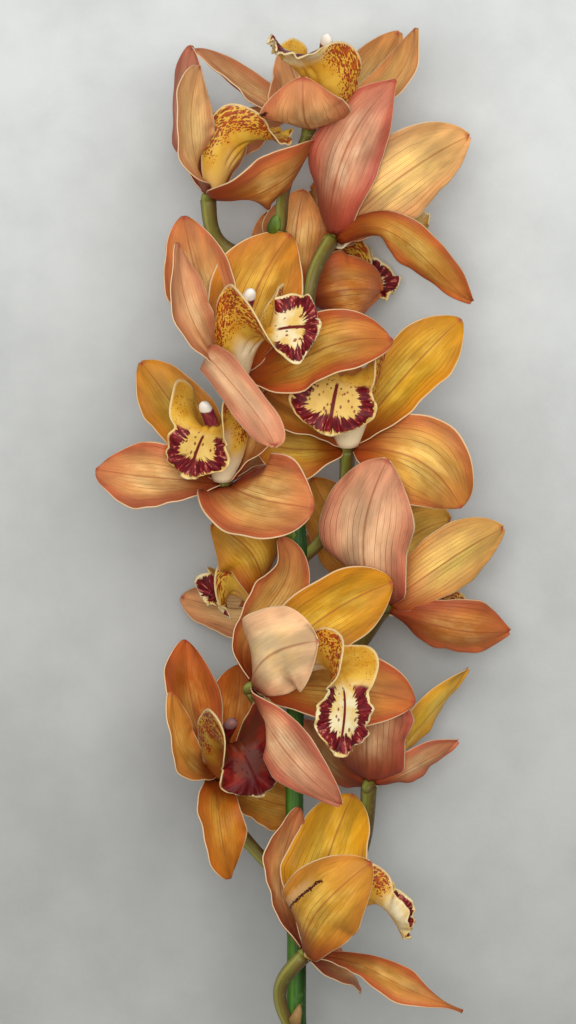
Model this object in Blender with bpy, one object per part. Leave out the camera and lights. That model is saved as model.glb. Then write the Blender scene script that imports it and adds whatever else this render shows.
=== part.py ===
"""Cut stem of a cymbidium orchid with thirteen open blooms, lying on its back on a surface.

The stem runs along Y, its cut end at -Y and its top bloom at +Y.
Z is up, and the lowest petals rest at z = 0.
Places are read off one front view of the stem, as (across, down, rise): across and down in view units,
and rise in millimetres towards the viewer, counted from the middle of the stem.
"""

import math

import bmesh
import bpy
import numpy as np
from mathutils import Vector

MM = 0.001

# Driving dimensions
VIEW_UNIT = 0.38 * MM
VIEW_MIDDLE = (288, 512)
VIEW_MIDDLE_PLACE = (-6.31 * MM, 89.36 * MM)
EYE_HEIGHT = 2000 * MM
STEM_REST_HEIGHT = 62 * MM
STEM_RADIUS_CUT = 4.2 * MM
STEM_RADIUS_TOP = 2.2 * MM
STEM_TAPER = 1.3
FLOOR_GAP = 0.05 * MM
PEDICEL_RADIUS = 2.2 * MM
OVARY_RADIUS = 3.0 * MM
RECEPTACLE_RADIUS = 4.2 * MM
CLEARANCE = 0.45 * MM
TEPAL_THICKNESS = 0.9 * MM
TEPAL_EDGE_THICKNESS = 0.62 * MM
TEPAL_FOOT_DEPTH = 2.6 * MM
TEPAL_TURNED_BY = 0.45
TIP_ROUNDNESS = 2.1
TIP_FULLNESS = 0.72
TIP_LEAST = 0.06
FOCUS_DISTANCE = 60 * MM
LIP_THICKNESS = 1.0 * MM
LIP_EDGE_THICKNESS = 0.7 * MM
LIP_TURNS_FROM = 0.4
LIP_TURNED_BY = 0.7
LIP_FOOT_FORWARD = 3.7 * MM
LIP_FOOT_ASIDE = 4.1 * MM
COLUMN_FOOT_FORWARD = 4.8 * MM
COLUMN_FOOT_ASIDE = 1.2 * MM
COLUMN_ARCH = 2 * MM

# Facets of the blades and rods
TEPAL_SHARES = (0, 0.2, 0.42, 0.64, 0.84, 1)
TEPAL_STEPS = 4
LIP_STEPS = 6
COLUMN_SIDES = 6
STEM_SIDES = 10
STALK_SIDES = 6
STALK_RINGS = 8
RECEPTACLE_RINGS = 5
RECEPTACLE_END = 0.2
SHARP_ANGLE = 50
ROD_UP = (0.3, 0.2, 1.0)

# Along the lip: share of its run, half of its width in mm, half of its curl in degrees,
# and how far its edges reach forward in mm
LIP_PROFILE = (
    (0.00, 1.4, 60, 0),
    (0.14, 5.0, 84, 0),
    (0.28, 14.5, 86, 6),
    (0.42, 18.4, 84, 12),
    (0.56, 15.0, 66, 9),
    (0.68, 11.0, 22, 1),
    (0.84, 14.0, -14, 0),
    (0.94, 10.5, -26, -2),
    (1.00, 4.0, -26, -3),
)

# Along the column: share of its run and its radius in mm
COLUMN_PROFILE = ((0.0, 2.0), (0.35, 2.1), (0.7, 2.8), (0.9, 3.2), (1.0, 1.6))

# The stem's middle line, from the cut end to the tip
STEM_RUN = (
    (288, 1440, -57.5),
    (294, 1300, -46),
    (297, 1150, -14),
    (296, 1024, 0),
    (297, 920, 0),
    (294, 800, 0),
    (296, 660, 0),
    (297, 545, 0),
    (296, 440, 0),
    (290, 330, 0),
    (279, 232, 0),
)
STEM_ORIGIN = (296, 1024, 0)


def tepal(*run, width, face=None, cup=34, foot=0.45, tail=1.0, widest=0.56):
    """One sepal or petal: the points its run passes, its width in mm, the way its inner face looks,
    half of its curl in degrees, how wide its foot is as a share of its width, how drawn out its tip,
    and the share of its run where it is widest."""
    return dict(run=run, width=width, face=face, cup=cup, foot=foot, tail=tail, widest=widest)


def lip(throat, tip, face=None, width=1.0, reach=1.0, roll=0):
    """A lip: the throat and tip its run passes, the way its mid-lobe looks, its relative width,
    how far its side lobes reach forward, and how far its mid-lobe rolls up, in degrees."""
    return dict(throat=throat, tip=tip, face=face, width=width, reach=reach, roll=roll)


# Every bloom: middle, facing, the side that its lip hangs on, and its parts
BLOOMS = {
    "bloom_01": dict(
        middle=(310, 129, -4),
        facing=(-0.08, 0.92, 0.38),
        lip_side=(-0.6, -0.15, 0.78),
        stalk=((279, 232, 0), (284, 190, -8), (294, 165, -11), (304, 148, -9)),
        dorsal=tepal((366, 84, -26), (399, 32, -22), width=25),
        petal_near=tepal((391, 88, -7), (415, 28, -4), width=26, face=(-0.75, 0.25, 0.6)),
        petal_far=tepal((258, 97, -14), (196, 49, -10), width=20, face=(0.1, 0.9, 0.42), cup=50),
        sepal_near=tepal(
            (309, 128, 17), (304, 114, 34), (303, 77, 40), width=36, face=(0.1, 0.3, -0.95), cup=40, foot=0.05
        ),
        sepal_far=tepal((300, 96, -18), (283, 50, -20), width=24),
        lip=lip((303, 64, 24), (267, 41, 30), face=(-0.3, 0.9, 0.25), width=1.12, reach=0.3),
        cap=(327, 34, 20),
    ),
    "bloom_02": dict(
        middle=(208, 198, 6),
        facing=(0.3, 0.85, 0.42),
        lip_side=(0.5, -0.75, 0.4),
        stalk=((280, 268, 0), (243, 254, 0), (218, 240, 1), (210, 220, 4)),
        dorsal=tepal((186, 118, -12), (193, 46, -8), width=26, face=(0.75, 0.1, -0.65)),
        petal_near=tepal((190, 128, 33), (200, 66, 24), width=23, face=(0.7, 0.1, 0.7), foot=0.2),
        petal_far=tepal((220, 138, -26), (222, 112, -48), width=22),
        sepal_near=tepal((252, 196, 16), (313, 144, -4), width=28, face=(-0.2, 0.7, -0.68), foot=0.8),
        sepal_far=tepal((246, 130, -34), (292, 112, -46), width=18),
        lip=lip((250, 142, 8), (291, 135, 1), face=(-0.1, 0.9, 0.4), width=0.9, reach=0.4),
        cap=(238, 112, 8),
    ),
    "bloom_03": dict(
        middle=(236, 380, 23),
        facing=(0.26, 0.83, 0.48),
        lip_side=(0.45, -0.75, 0.48),
        stalk=((295, 430, 0), (276, 425, 2), (256, 412, 9), (243, 397, 16)),
        dorsal=tepal((202, 296, 12), (184, 216, 8), width=27, face=(0.3, 0.1, 0.95)),
        petal_near=tepal((187, 306, 52), (179, 243, 52), width=25, face=(0.75, 0.1, 0.6), foot=0.3),
        petal_far=tepal((254, 296, 10), (290, 234, 4), width=35, face=(0.0, 0.1, 1.0)),
        sepal_near=tepal(
            (208, 356, 44),
            (236, 388, 56),
            (275, 446, 58),
            width=13,
            face=(0.5, -0.5, -0.7),
            foot=0.1,
            tail=0.45,
            widest=0.8,
        ),
        sepal_far=tepal((262, 376, 25), (328, 348, 41), (393, 340, 38), width=30, face=(-0.1, 0.25, 0.95)),
        lip=lip((257, 340, 42), (322, 328, 51), face=(0.1, 0.4, 0.9), width=1.08),
        cap=(252, 289, 44),
    ),
    "bloom_04": dict(
        middle=(331, 240, -6),
        facing=(0.75, 0.25, -0.6),
        lip_side=(0.35, -0.92, 0.0),
        stalk=((294, 345, 0), (308, 310, 4), (312, 280, 4), (322, 255, 0)),
        dorsal=tepal((339, 168, 6), (396, 80, 15), width=29, face=(0.3, 0.1, -0.95), foot=0.6, tail=1.7),
        petal_near=tepal((398, 178, 2), (469, 136, -6), width=31, face=(0.1, 0.2, -0.95), cup=20),
        petal_far=tepal((322, 212, -38), (312, 192, -74), width=22, foot=0.3),
        sepal_near=tepal(
            (396, 234, 8), (436, 268, 4), (472, 301, -4), width=16, face=(0.0, 0.5, -0.8), cup=50, tail=1.5
        ),
        sepal_far=tepal((344, 225, -40), (350, 218, -74), width=18, foot=0.2),
        lip=lip((400, 230, -26), (426, 238, -30), reach=0.5),
        cap=(395, 196, -30),
    ),
    "bloom_05": dict(
        middle=(302, 300, -26),
        facing=(0.45, 0.45, -0.75),
        lip_side=(0.85, -0.35, 0.2),
        stalk=((294, 350, 0), (296, 335, -8), (300, 318, -16)),
        dorsal=tepal((284, 258, -30), (268, 212, -34), width=22, face=(0.1, -0.1, -1.0)),
        petal_near=tepal((295, 250, -17), (304, 190, -17), width=24, face=(0.1, -0.1, -1.0)),
        petal_far=tepal((282, 272, -43), (270, 258, -74), width=20, foot=0.3),
        sepal_near=tepal((346, 290, -13), (380, 292, -30), width=31, face=(0.1, 0.1, -1.0)),
        sepal_far=tepal((310, 324, -48), (320, 342, -74), width=18, foot=0.3),
        lip=lip((352, 280, -44), (386, 300, -38), face=(0.5, 0.2, 0.85), reach=0.3),
        cap=(338, 262, -54),
    ),
    "bloom_06": dict(
        middle=(226, 485, 18),
        facing=(-0.25, 0.85, 0.46),
        lip_side=(-0.5, -0.45, 0.75),
        stalk=((297, 540, 0), (272, 524, 0), (245, 506, 6), (231, 496, 12)),
        dorsal=tepal((254, 434, -14), (262, 384, -18), width=22),
        petal_near=tepal((256, 448, 24), (258, 408, 18), width=22),
        petal_far=tepal((184, 420, 6), (141, 362, 4), width=26, face=(0.3, -0.2, 0.9)),
        sepal_near=tepal((262, 499, 44), (314, 508, 52), width=38, face=(0.1, 0.3, 0.95), foot=0.6),
        sepal_far=tepal((158, 478, 24), (96, 469, 16), width=26, face=(0.1, 0.2, 0.97)),
        lip=lip((210, 430, 32), (188, 480, 38), face=(-0.45, 0.2, 0.85), width=1.05, reach=0.8),
        cap=(202, 402, 32),
    ),
    "bloom_07": dict(
        middle=(347, 448, 6),
        facing=(0.0, 0.72, 0.69),
        lip_side=(-0.15, -0.68, 0.72),
        stalk=((298, 560, 0), (325, 535, -6), (342, 500, -6), (347, 470, 0)),
        dorsal=tepal((340, 398, -14), (330, 345, -16), width=26),
        petal_near=tepal((298, 414, 14), (264, 392, 14), width=24, foot=0.15),
        petal_far=tepal((399, 382, 2), (461, 319, -4), width=26, face=(-0.3, 0.1, 0.95)),
        sepal_near=tepal((300, 450, 12), (256, 440, 16), width=26, face=(0.1, 0.3, 0.95)),
        sepal_far=tepal((404, 454, 8), (461, 508, -2), width=33, face=(-0.1, 0.3, 0.95), foot=0.7),
        lip=lip((340, 378, 28), (328, 437, 36), face=(0.0, 0.15, 1.0), width=1.2, reach=0.8),
        cap=(345, 378, 18),
    ),
    "bloom_08": dict(
        middle=(384, 608, -12),
        facing=(0.75, 0.25, -0.6),
        lip_side=(0.45, -0.55, -0.7),
        stalk=((296, 690, 0), (325, 680, -14), (352, 655, -20), (372, 626, -17)),
        dorsal=tepal((348, 546, -18), (312, 478, -22), width=26, face=(0.3, 0.1, -0.95)),
        petal_near=tepal((364, 538, 12), (388, 459, 24), width=36, face=(0.2, 0.1, -0.97), foot=0.6),
        petal_far=tepal((398, 553, -27), (450, 520, -48), width=28, face=(0.2, 0.1, -0.97), foot=0.2),
        sepal_near=tepal(
            (448, 627, -13), (509, 631, -26), width=23, face=(0.0, 0.4, -0.9), cup=45, foot=0.25, tail=1.3
        ),
        sepal_far=tepal((446, 562, -8), (503, 528, -16), width=25, face=(0.1, 0.2, -0.95)),
        lip=lip((437, 622, -50), (456, 640, -60), reach=0.3),
        cap=(446, 594, -42),
    ),
    "bloom_09": dict(
        middle=(252, 688, 22),
        facing=(0.76, 0.33, 0.56),
        lip_side=(0.35, -0.75, 0.56),
        stalk=((293, 764, 0), (283, 738, -1), (268, 712, 4), (257, 699, 13)),
        dorsal=tepal((250, 630, 10), (288, 575, 14), (280, 537, 16), width=20, face=(0.5, 0.1, 0.85), cup=45),
        petal_near=tepal((274, 653, 49), (319, 641, 62), width=36, face=(0.2, 0.1, -0.97), cup=26, foot=0.15),
        petal_far=tepal((322, 618, 12), (393, 582, 6), width=31, face=(0.1, -0.1, 1.0)),
        sepal_near=tepal((282, 746, 50), (341, 804, 48), width=20, face=(0.1, 0.2, -0.97), cup=30),
        sepal_far=tepal((345, 688, 12), (415, 702, 9), width=30, face=(0.1, 0.1, 1.0)),
        lip=lip((334, 672, 41), (337, 757, 48), face=(0.6, 0.1, 0.8), width=0.93, reach=0.5),
        cap=(326, 656, 36),
    ),
    "bloom_10": dict(
        middle=(262, 598, -14),
        facing=(-0.85, 0.2, -0.15),
        lip_side=(-0.3, -0.85, 0.35),
        stalk=((296, 650, 0), (286, 634, -10), (274, 614, -14)),
        dorsal=tepal((297, 566, -30), (310, 524, -40), width=18, face=(0.95, 0.0, 0.2)),
        petal_near=tepal((254, 557, -2), (212, 524, -4), width=26, face=(0.1, 0.1, -1.0)),
        petal_far=tepal((244, 578, -42), (238, 562, -74), width=22),
        sepal_near=tepal((260, 634, -16), (268, 668, -22), width=20),
        sepal_far=tepal((224, 608, -45), (181, 597, -49), width=23, face=(0.1, 0.1, 1.0)),
        lip=lip((236, 594, -15), (205, 604, -12), face=(-0.6, 0.0, 0.8), width=0.84, reach=0.3),
        cap=(222, 569, -20),
    ),
    "bloom_11": dict(
        middle=(217, 775, 6),
        facing=(0.3, 0.58, 0.75),
        lip_side=(0.4, -0.85, 0.35),
        stalk=((297, 895, 0), (272, 868, -3), (243, 836, -6), (219, 800, -8)),
        dorsal=tepal((192, 708, -2), (186, 640, -8), width=24, face=(0.4, 0.1, 0.9)),
        petal_near=tepal((180, 742, 38), (172, 692, 42), width=18, face=(0.9, 0.1, 0.4), cup=40, foot=0.15),
        petal_far=tepal((236, 712, -8), (240, 664, -16), width=24),
        sepal_near=tepal((220, 828, 28), (231, 878, 22), width=20, face=(0.3, 0.4, 0.8), cup=40),
        sepal_far=tepal((262, 800, -10), (300, 808, -22), width=22, face=(0.0, 0.3, 0.9)),
        lip=lip((234, 746, 22), (262, 797, 26), face=(0.3, 0.1, 0.95), width=1.0, reach=0.8),
        cap=(234, 721, 29),
    ),
    "bloom_12": dict(
        middle=(369, 785, -18),
        facing=(0.3, 0.65, -0.7),
        lip_side=(0.5, -0.5, -0.5),
        stalk=((297, 915, 0), (330, 898, -16), (358, 860, -24), (367, 820, -22)),
        dorsal=tepal((325, 756, -28), (300, 720, -34), width=22),
        petal_near=tepal((367, 728, 0), (372, 668, -6), width=35, face=(0.1, 0.1, -1.0), cup=40, foot=0.7),
        petal_far=tepal((338, 742, -40), (334, 712, -74), width=24, foot=0.2),
        sepal_near=tepal((420, 764, -14), (457, 740, -20), width=15, face=(0.0, 0.6, -0.8), cup=45, tail=1.8),
        sepal_far=tepal(
            (424, 722, -25), (467, 668, -36), width=17, face=(-0.4, 0.6, -0.7), cup=45, foot=0.3, tail=1.8
        ),
        lip=lip((384, 760, -52), (394, 780, -60), width=0.8, reach=0.5),
        cap=(381, 716, -42),
    ),
    "bloom_13": dict(
        middle=(304, 955, 20),
        facing=(0.8, 0.42, 0.42),
        lip_side=(0.35, -0.8, 0.5),
        stalk=((298, 1040, 0), (284, 1014, 6), (280, 990, 12), (292, 968, 19)),
        dorsal=tepal((281, 880, 10), (300, 808, 6), width=22, face=(0.7, 0.0, 0.7), cup=40),
        petal_near=tepal((322, 906, 50), (371, 862, 56), width=32, face=(0.1, 0.1, -1.0), cup=30, foot=0.4),
        petal_far=tepal((324, 870, 7), (353, 794, -4), width=32, face=(0.0, 0.0, 1.0)),
        sepal_near=tepal(
            (346, 961, 16),
            (380, 974, 27),
            (463, 1010, 28),
            width=14,
            face=(0.0, 0.7, 0.6),
            foot=0.15,
            tail=2.6,
        ),
        sepal_far=tepal((335, 968, 8), (352, 974, -20), width=18),
        lip=lip((382, 906, 31), (405, 941, 31), face=(0.9, 0.35, 0.15), reach=0.3, roll=80),
        cap=(360, 878, 28),
    ),
}

TEPAL_ROLES = ("dorsal", "petal_near", "petal_far", "sepal_near", "sepal_far")


def spot(across, down, rise):
    """A point of the front view in metres, as seen by an eye high above the middle of the stem."""
    height = rise * MM
    nearer = 1 - height / EYE_HEIGHT
    x = (across - VIEW_MIDDLE[0]) * VIEW_UNIT * nearer + VIEW_MIDDLE_PLACE[0]
    y = (VIEW_MIDDLE[1] - down) * VIEW_UNIT * nearer + VIEW_MIDDLE_PLACE[1]
    return np.array((x, y, height + STEM_REST_HEIGHT))


def unit(vector):
    vector = np.asarray(vector, float)
    return vector / np.linalg.norm(vector)


def across_to(vector, axis):
    """The part of a direction that stands square to an axis."""
    vector = np.asarray(vector, float)
    return unit(vector - axis * (vector @ axis))


def smooth_run(points, shares):
    """Points at the given shares of one smooth curve through a few points."""
    points = np.array(points)
    steps = np.linalg.norm(np.diff(points, axis=0), axis=1)
    places = np.concatenate(((0,), np.cumsum(steps))) / steps.sum()
    factors = np.polyfit(places, points, len(points) - 1)
    return np.array([sum(f * s ** (len(factors) - 1 - i) for i, f in enumerate(factors)) for s in shares])


def tangents(run):
    return np.array([unit(step) for step in np.gradient(run, axis=0)])


def blade_points(run, hints, halves, curls, columns, reaches):
    """Rows of points across a run, each row an arc that curls towards its hint.

    Reaches are steps that the edges of each row take forward."""
    rows = []
    normals = []
    for point, along, hint, half, curl, reach in zip(run, tangents(run), hints, halves, curls, reaches):
        up = across_to(hint, along)
        side = np.cross(up, along)
        radius = half / curl
        for turn in np.linspace(-1, 1, columns):
            angle = turn * curl
            aside = side * radius * math.sin(angle)
            raised = up * radius * (1 - math.cos(angle))
            rows.append(point + aside + raised + reach * turn**2)
            normals.append(up * math.cos(angle) - side * math.sin(angle))
    shape = (len(run), columns, 3)
    return np.array(rows).reshape(shape), np.array(normals).reshape(shape)


def closed_blade(name, rows, normals, thickness, edge_thickness):
    """A blade with two faces, split into triangles alike, and a strip round its edge."""
    count, columns = rows.shape[:2]
    middle = (columns - 1) / 2
    share = np.abs(np.arange(columns) - middle) / middle
    half = (thickness + (edge_thickness - thickness) * share**2)[None, :, None] / 2
    top = rows + normals * half
    bottom = rows - normals * half
    lift = np.maximum(0, -np.minimum(top[..., 2], bottom[..., 2]))
    top[..., 2] += lift
    bottom[..., 2] += lift
    points = np.concatenate((top.reshape(-1, 3), bottom.reshape(-1, 3)))
    under = count * columns
    faces = []
    for i in range(count - 1):
        for j in range(columns - 1):
            a, b = i * columns + j, i * columns + j + 1
            c, d = a + columns, b + columns
            faces += [(a, d, b), (a, c, d)]
            faces += [(under + a, under + b, under + d), (under + a, under + d, under + c)]
    rim = list(range(columns))
    rim += [i * columns + columns - 1 for i in range(1, count)]
    rim += [(count - 1) * columns + j for j in range(columns - 2, -1, -1)]
    rim += [i * columns for i in range(count - 2, 0, -1)]
    for a, b in zip(rim, rim[1:] + rim[:1]):
        faces += [(a, b, under + a), (b, under + b, under + a)]
    mesh = bpy.data.meshes.new(name)
    mesh.from_pydata([tuple(p) for p in points], [], faces)
    return bpy.data.objects.new(name, mesh)


def closed_tube(name, run, radii, sides):
    """A round rod along a run, closed by a flat end at each side."""
    ways = tangents(run)
    up = across_to(ROD_UP, ways[0])
    points = []
    for point, along, radius in zip(run, ways, radii):
        up = across_to(up, along)
        side = np.cross(up, along)
        for k in range(sides):
            turn = math.tau * k / sides
            points.append(point + radius * (side * math.cos(turn) + up * math.sin(turn)))
    faces = []
    for i in range(len(run) - 1):
        for k in range(sides):
            a, b = i * sides + k, i * sides + (k + 1) % sides
            faces.append((a, b, b + sides, a + sides))
    faces.append(tuple(range(sides - 1, -1, -1)))
    faces.append(tuple(range(len(points) - sides, len(points))))
    mesh = bpy.data.meshes.new(name)
    mesh.from_pydata([tuple(p) for p in points], [], faces)
    return bpy.data.objects.new(name, mesh)


def bloom_axes(bloom):
    """Middle, facing and lip side of a bloom in metres and unit directions."""
    middle = spot(*bloom["middle"])
    facing = unit(bloom["facing"])
    lip_side = across_to(bloom["lip_side"], facing)
    return middle, facing, lip_side


def tepal_half_widths(facts, shares):
    """Narrow at the foot, widest past the middle, rounded to a point at the tip."""
    foot, widest = facts["foot"], facts["widest"]
    halves = []
    for share in shares:
        if share < widest:
            grown = foot + (1 - foot) * math.sin(math.pi / 2 * share / widest)
        else:
            past = (share - widest) / (1 - widest)
            grown = (1 - past**TIP_ROUNDNESS) ** (TIP_FULLNESS * facts["tail"])
        halves.append(max(grown, TIP_LEAST) * facts["width"] * MM / 2)
    return np.array(halves)


def tepal_blade(name, bloom, facts):
    """One sepal or petal: a cupped blade along its run, its inner face turned to the bloom's front."""
    middle, facing, _ = bloom_axes(bloom)
    places = [spot(*place) for place in facts["run"]]
    foot = middle + unit(places[0] - middle) * TEPAL_FOOT_DEPTH
    shares = np.array(TEPAL_SHARES)
    run = smooth_run([foot, *places], shares)
    focus = middle + facing * FOCUS_DISTANCE
    hints = np.array([unit(focus - point) for point in run])
    if facts["face"]:
        blend = np.clip(shares / TEPAL_TURNED_BY, 0, 1)[:, None]
        hints = hints * (1 - blend) + unit(facts["face"]) * blend
    halves = tepal_half_widths(facts, shares)
    halves[0] = min(halves[0], TEPAL_FOOT_DEPTH)
    curls = np.radians(np.full(len(shares), float(facts["cup"])))
    rows, normals = blade_points(run, hints, halves, curls, TEPAL_STEPS + 1, np.zeros_like(run))
    return closed_blade(name, rows, normals, TEPAL_THICKNESS, TEPAL_EDGE_THICKNESS)


def lip_blade(name, bloom):
    """The lip: a trough with raised side lobes, then a mid-lobe that curls down."""
    middle, facing, lip_side = bloom_axes(bloom)
    facts = bloom["lip"]
    base = middle + facing * LIP_FOOT_FORWARD + lip_side * LIP_FOOT_ASIDE
    table = np.array(LIP_PROFILE)
    shares, halves, curls, reaches = table.T
    run = smooth_run([base, spot(*facts["throat"]), spot(*facts["tip"])], shares)
    turn = np.clip((shares - LIP_TURNS_FROM) / (LIP_TURNED_BY - LIP_TURNS_FROM), 0, 1)[:, None]
    hints = -lip_side * (1 - turn) + unit(facts["face"] or bloom["facing"]) * turn
    halves = halves * facts["width"] * MM
    ahead = facing * facts["reach"] * (1 - turn) + tangents(run) * turn
    steps = ahead * reaches[:, None] * MM
    curls = np.radians(curls + facts["roll"] * turn[:, 0])
    rows, normals = blade_points(run, hints, halves, curls, LIP_STEPS + 1, steps)
    return closed_blade(name, rows, normals, LIP_THICKNESS, LIP_EDGE_THICKNESS)


def column_rod(name, bloom):
    """The column: an arched rod over the lip, thicker at its cap."""
    middle, facing, lip_side = bloom_axes(bloom)
    base = middle + facing * COLUMN_FOOT_FORWARD - lip_side * COLUMN_FOOT_ASIDE
    cap = spot(*bloom["cap"])
    arch = (base + cap) / 2 - lip_side * COLUMN_ARCH
    shares = [share for share, _ in COLUMN_PROFILE]
    radii = [radius * MM for _, radius in COLUMN_PROFILE]
    run = smooth_run([base, arch, cap], shares)
    return closed_tube(name, run, radii, COLUMN_SIDES)


def receptacle(name, bloom):
    """The small ball that a bloom's sepals and petals grow from."""
    middle, facing, _ = bloom_axes(bloom)
    turns = np.linspace(0, math.pi, RECEPTACLE_RINGS)
    run = np.array([middle - facing * math.cos(turn) * RECEPTACLE_RADIUS for turn in turns])
    radii = [max(math.sin(turn), RECEPTACLE_END) * RECEPTACLE_RADIUS for turn in turns]
    return closed_tube(name, run, radii, STALK_SIDES)


def keep_largest(mesh):
    """Drops every loose scrap and sealed hollow of a fused mesh."""
    shape = bmesh.new()
    shape.from_mesh(mesh)
    left = set(shape.faces)
    groups = []
    while left:
        front = [left.pop()]
        group = set(front)
        while front:
            shared = {edge for face in front for edge in face.edges if len(edge.link_faces) == 2}
            near = {face for edge in shared for face in edge.link_faces} & left
            left -= near
            group |= near
            front = list(near)
        groups.append(group)
    groups.sort(key=len)
    scraps = [face for group in groups[:-1] for face in group]
    bmesh.ops.delete(shape, geom=scraps, context="FACES")
    shape.to_mesh(mesh)
    shape.free()


def fuse(first, others):
    """Joins solids into the first one with one union, and removes them."""
    group = bpy.data.collections.new(first.name + "_pieces")
    bpy.context.scene.collection.children.link(group)
    for other in others:
        group.objects.link(other)
    bpy.context.scene.collection.objects.link(first)
    union = first.modifiers.new("union", "BOOLEAN")
    union.operation = "UNION"
    union.operand_type = "COLLECTION"
    union.collection = group
    union.solver = "EXACT"
    seen = first.evaluated_get(bpy.context.evaluated_depsgraph_get())
    fused = bpy.data.meshes.new_from_object(seen)
    keep_largest(fused)
    first.modifiers.clear()
    first.data = fused
    for other in others:
        bpy.data.objects.remove(other)
    bpy.data.collections.remove(group)
    return first


def material(name, colour, roughness):
    made = bpy.data.materials.new(name)
    made.use_nodes = True
    shader = made.node_tree.nodes["Principled BSDF"]
    shader.inputs["Base Color"].default_value = (*colour, 1)
    shader.inputs["Roughness"].default_value = roughness
    shader.inputs["Metallic"].default_value = 0
    return made


def finish(piece, origin, paint):
    """Puts a piece's own origin at its place, paints it and shades it smooth."""
    if not piece.users_collection:
        bpy.context.scene.collection.objects.link(piece)
    for vertex in piece.data.vertices:
        vertex.co -= Vector(origin)
    piece.location = origin
    piece.data.materials.clear()
    piece.data.materials.append(paint)
    piece.data.shade_smooth()
    piece.data.set_sharp_from_angle(angle=math.radians(SHARP_ANGLE))


def make_stem(paint):
    """The stem with every bloom's stalk, one green plant part."""
    points = [spot(*place) for place in STEM_RUN]
    places = np.linspace(0, 1, len(points))
    shares = np.linspace(0, 1, 2 * len(points) - 1)
    run = np.array([np.interp(shares, places, axis) for axis in np.array(points).T]).T
    radii = STEM_RADIUS_CUT + (STEM_RADIUS_TOP - STEM_RADIUS_CUT) * shares**STEM_TAPER
    run[:, 2] = np.maximum(run[:, 2], radii + FLOOR_GAP)
    stem = closed_tube("stem", run, radii, STEM_SIDES)
    stalks = []
    for name, bloom in BLOOMS.items():
        middle = bloom_axes(bloom)[0]
        knots = [spot(*place) for place in bloom["stalk"]]
        last = unit(middle - knots[-1])
        knots.append(middle - last * (RECEPTACLE_RADIUS + CLEARANCE))
        steps = np.linspace(0, 1, STALK_RINGS)
        path = smooth_run(knots, steps)
        widths = PEDICEL_RADIUS + (OVARY_RADIUS - PEDICEL_RADIUS) * steps**2
        stalks.append(closed_tube(name + "_stalk", path, widths, STALK_SIDES))
    fuse(stem, stalks)
    finish(stem, spot(*STEM_ORIGIN), paint)


def make_bloom(name, bloom, paints):
    origin = bloom_axes(bloom)[0]
    blades = [tepal_blade(name + "_" + role, bloom, bloom[role]) for role in TEPAL_ROLES]
    tepals = fuse(receptacle(name + "_tepals", bloom), blades)
    finish(tepals, origin, paints["tepal"])
    finish(lip_blade(name + "_lip", bloom), origin, paints["lip"])
    finish(column_rod(name + "_column", bloom), origin, paints["column"])


def main():
    for old in list(bpy.data.objects):
        bpy.data.objects.remove(old)
    paints = {
        "stem": material("stem_green", (0.10, 0.22, 0.02), 0.45),
        "tepal": material("tepal_orange", (0.68, 0.31, 0.09), 0.5),
        "lip": material("lip_cream", (0.80, 0.55, 0.16), 0.5),
        "column": material("column_yellow", (0.72, 0.48, 0.08), 0.45),
    }
    make_stem(paints["stem"])
    for name, bloom in BLOOMS.items():
        make_bloom(name, bloom, paints)


main()
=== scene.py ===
"""Looks of a cut cymbidium stem that lies on a pale surface, seen from straight above.

Sepals, petals, lips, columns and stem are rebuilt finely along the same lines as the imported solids.
Every blade carries its own coordinates as attributes, and the materials draw veins, rims and spots from them.
"""

import math
from types import SimpleNamespace

import bpy
import numpy as np
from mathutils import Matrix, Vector


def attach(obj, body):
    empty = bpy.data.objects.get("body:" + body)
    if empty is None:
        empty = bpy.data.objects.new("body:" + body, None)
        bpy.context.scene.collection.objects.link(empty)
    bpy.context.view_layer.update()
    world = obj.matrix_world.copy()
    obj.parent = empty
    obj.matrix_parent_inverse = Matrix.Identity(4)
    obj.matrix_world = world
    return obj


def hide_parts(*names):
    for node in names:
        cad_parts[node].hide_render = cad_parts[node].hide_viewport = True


MM = 0.001

# Driving dimensions, the same as in the solids
VIEW_UNIT = 0.38 * MM
VIEW_MIDDLE = (288, 512)
VIEW_HEIGHT = 1024
VIEW_MIDDLE_PLACE = (-6.31 * MM, 89.36 * MM)
EYE_HEIGHT = 2000 * MM
STEM_REST_HEIGHT = 62 * MM
STEM_RADIUS_CUT = 4.2 * MM
STEM_RADIUS_TOP = 2.2 * MM
STEM_TAPER = 1.3
FLOOR_GAP = 0.05 * MM
PEDICEL_RADIUS = 2.2 * MM
OVARY_RADIUS = 3.0 * MM
RECEPTACLE_RADIUS = 4.2 * MM
TEPAL_THICKNESS = 0.9 * MM
TEPAL_FOOT_DEPTH = 2.6 * MM
TEPAL_TURNED_BY = 0.45
TIP_ROUNDNESS = 2.1
TIP_FULLNESS = 0.72
FOCUS_DISTANCE = 60 * MM
LIP_TURNS_FROM = 0.4
LIP_TURNED_BY = 0.7
LIP_FOOT_FORWARD = 3.7 * MM
LIP_FOOT_ASIDE = 4.1 * MM
COLUMN_FOOT_FORWARD = 4.8 * MM
COLUMN_FOOT_ASIDE = 1.2 * MM
COLUMN_ARCH = 2 * MM

# Rows and columns of the fine blades and rods, and how closely they crowd to tips and edges
TEPAL_ROWS = 36
TEPAL_COLUMNS = 21
TEPAL_ROW_CROWDING = 1.35
TEPAL_COLUMN_CROWDING = 0.5
LIP_ROWS = 64
LIP_COLUMNS = 49
LIP_ROW_CROWDING = 1.25
LIP_COLUMN_CROWDING = 0.4
COLUMN_RINGS = 28
COLUMN_SIDES = 20
STEM_RINGS = 150
STEM_SIDES = 20
STEM_SOFTENING = 20
STALK_RINGS = 26
STALK_SIDES = 16
BALL_RINGS = 12
BALL_POLE = 0.08
BRACT_ROWS = 12
BRACT_COLUMNS = 9

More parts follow.
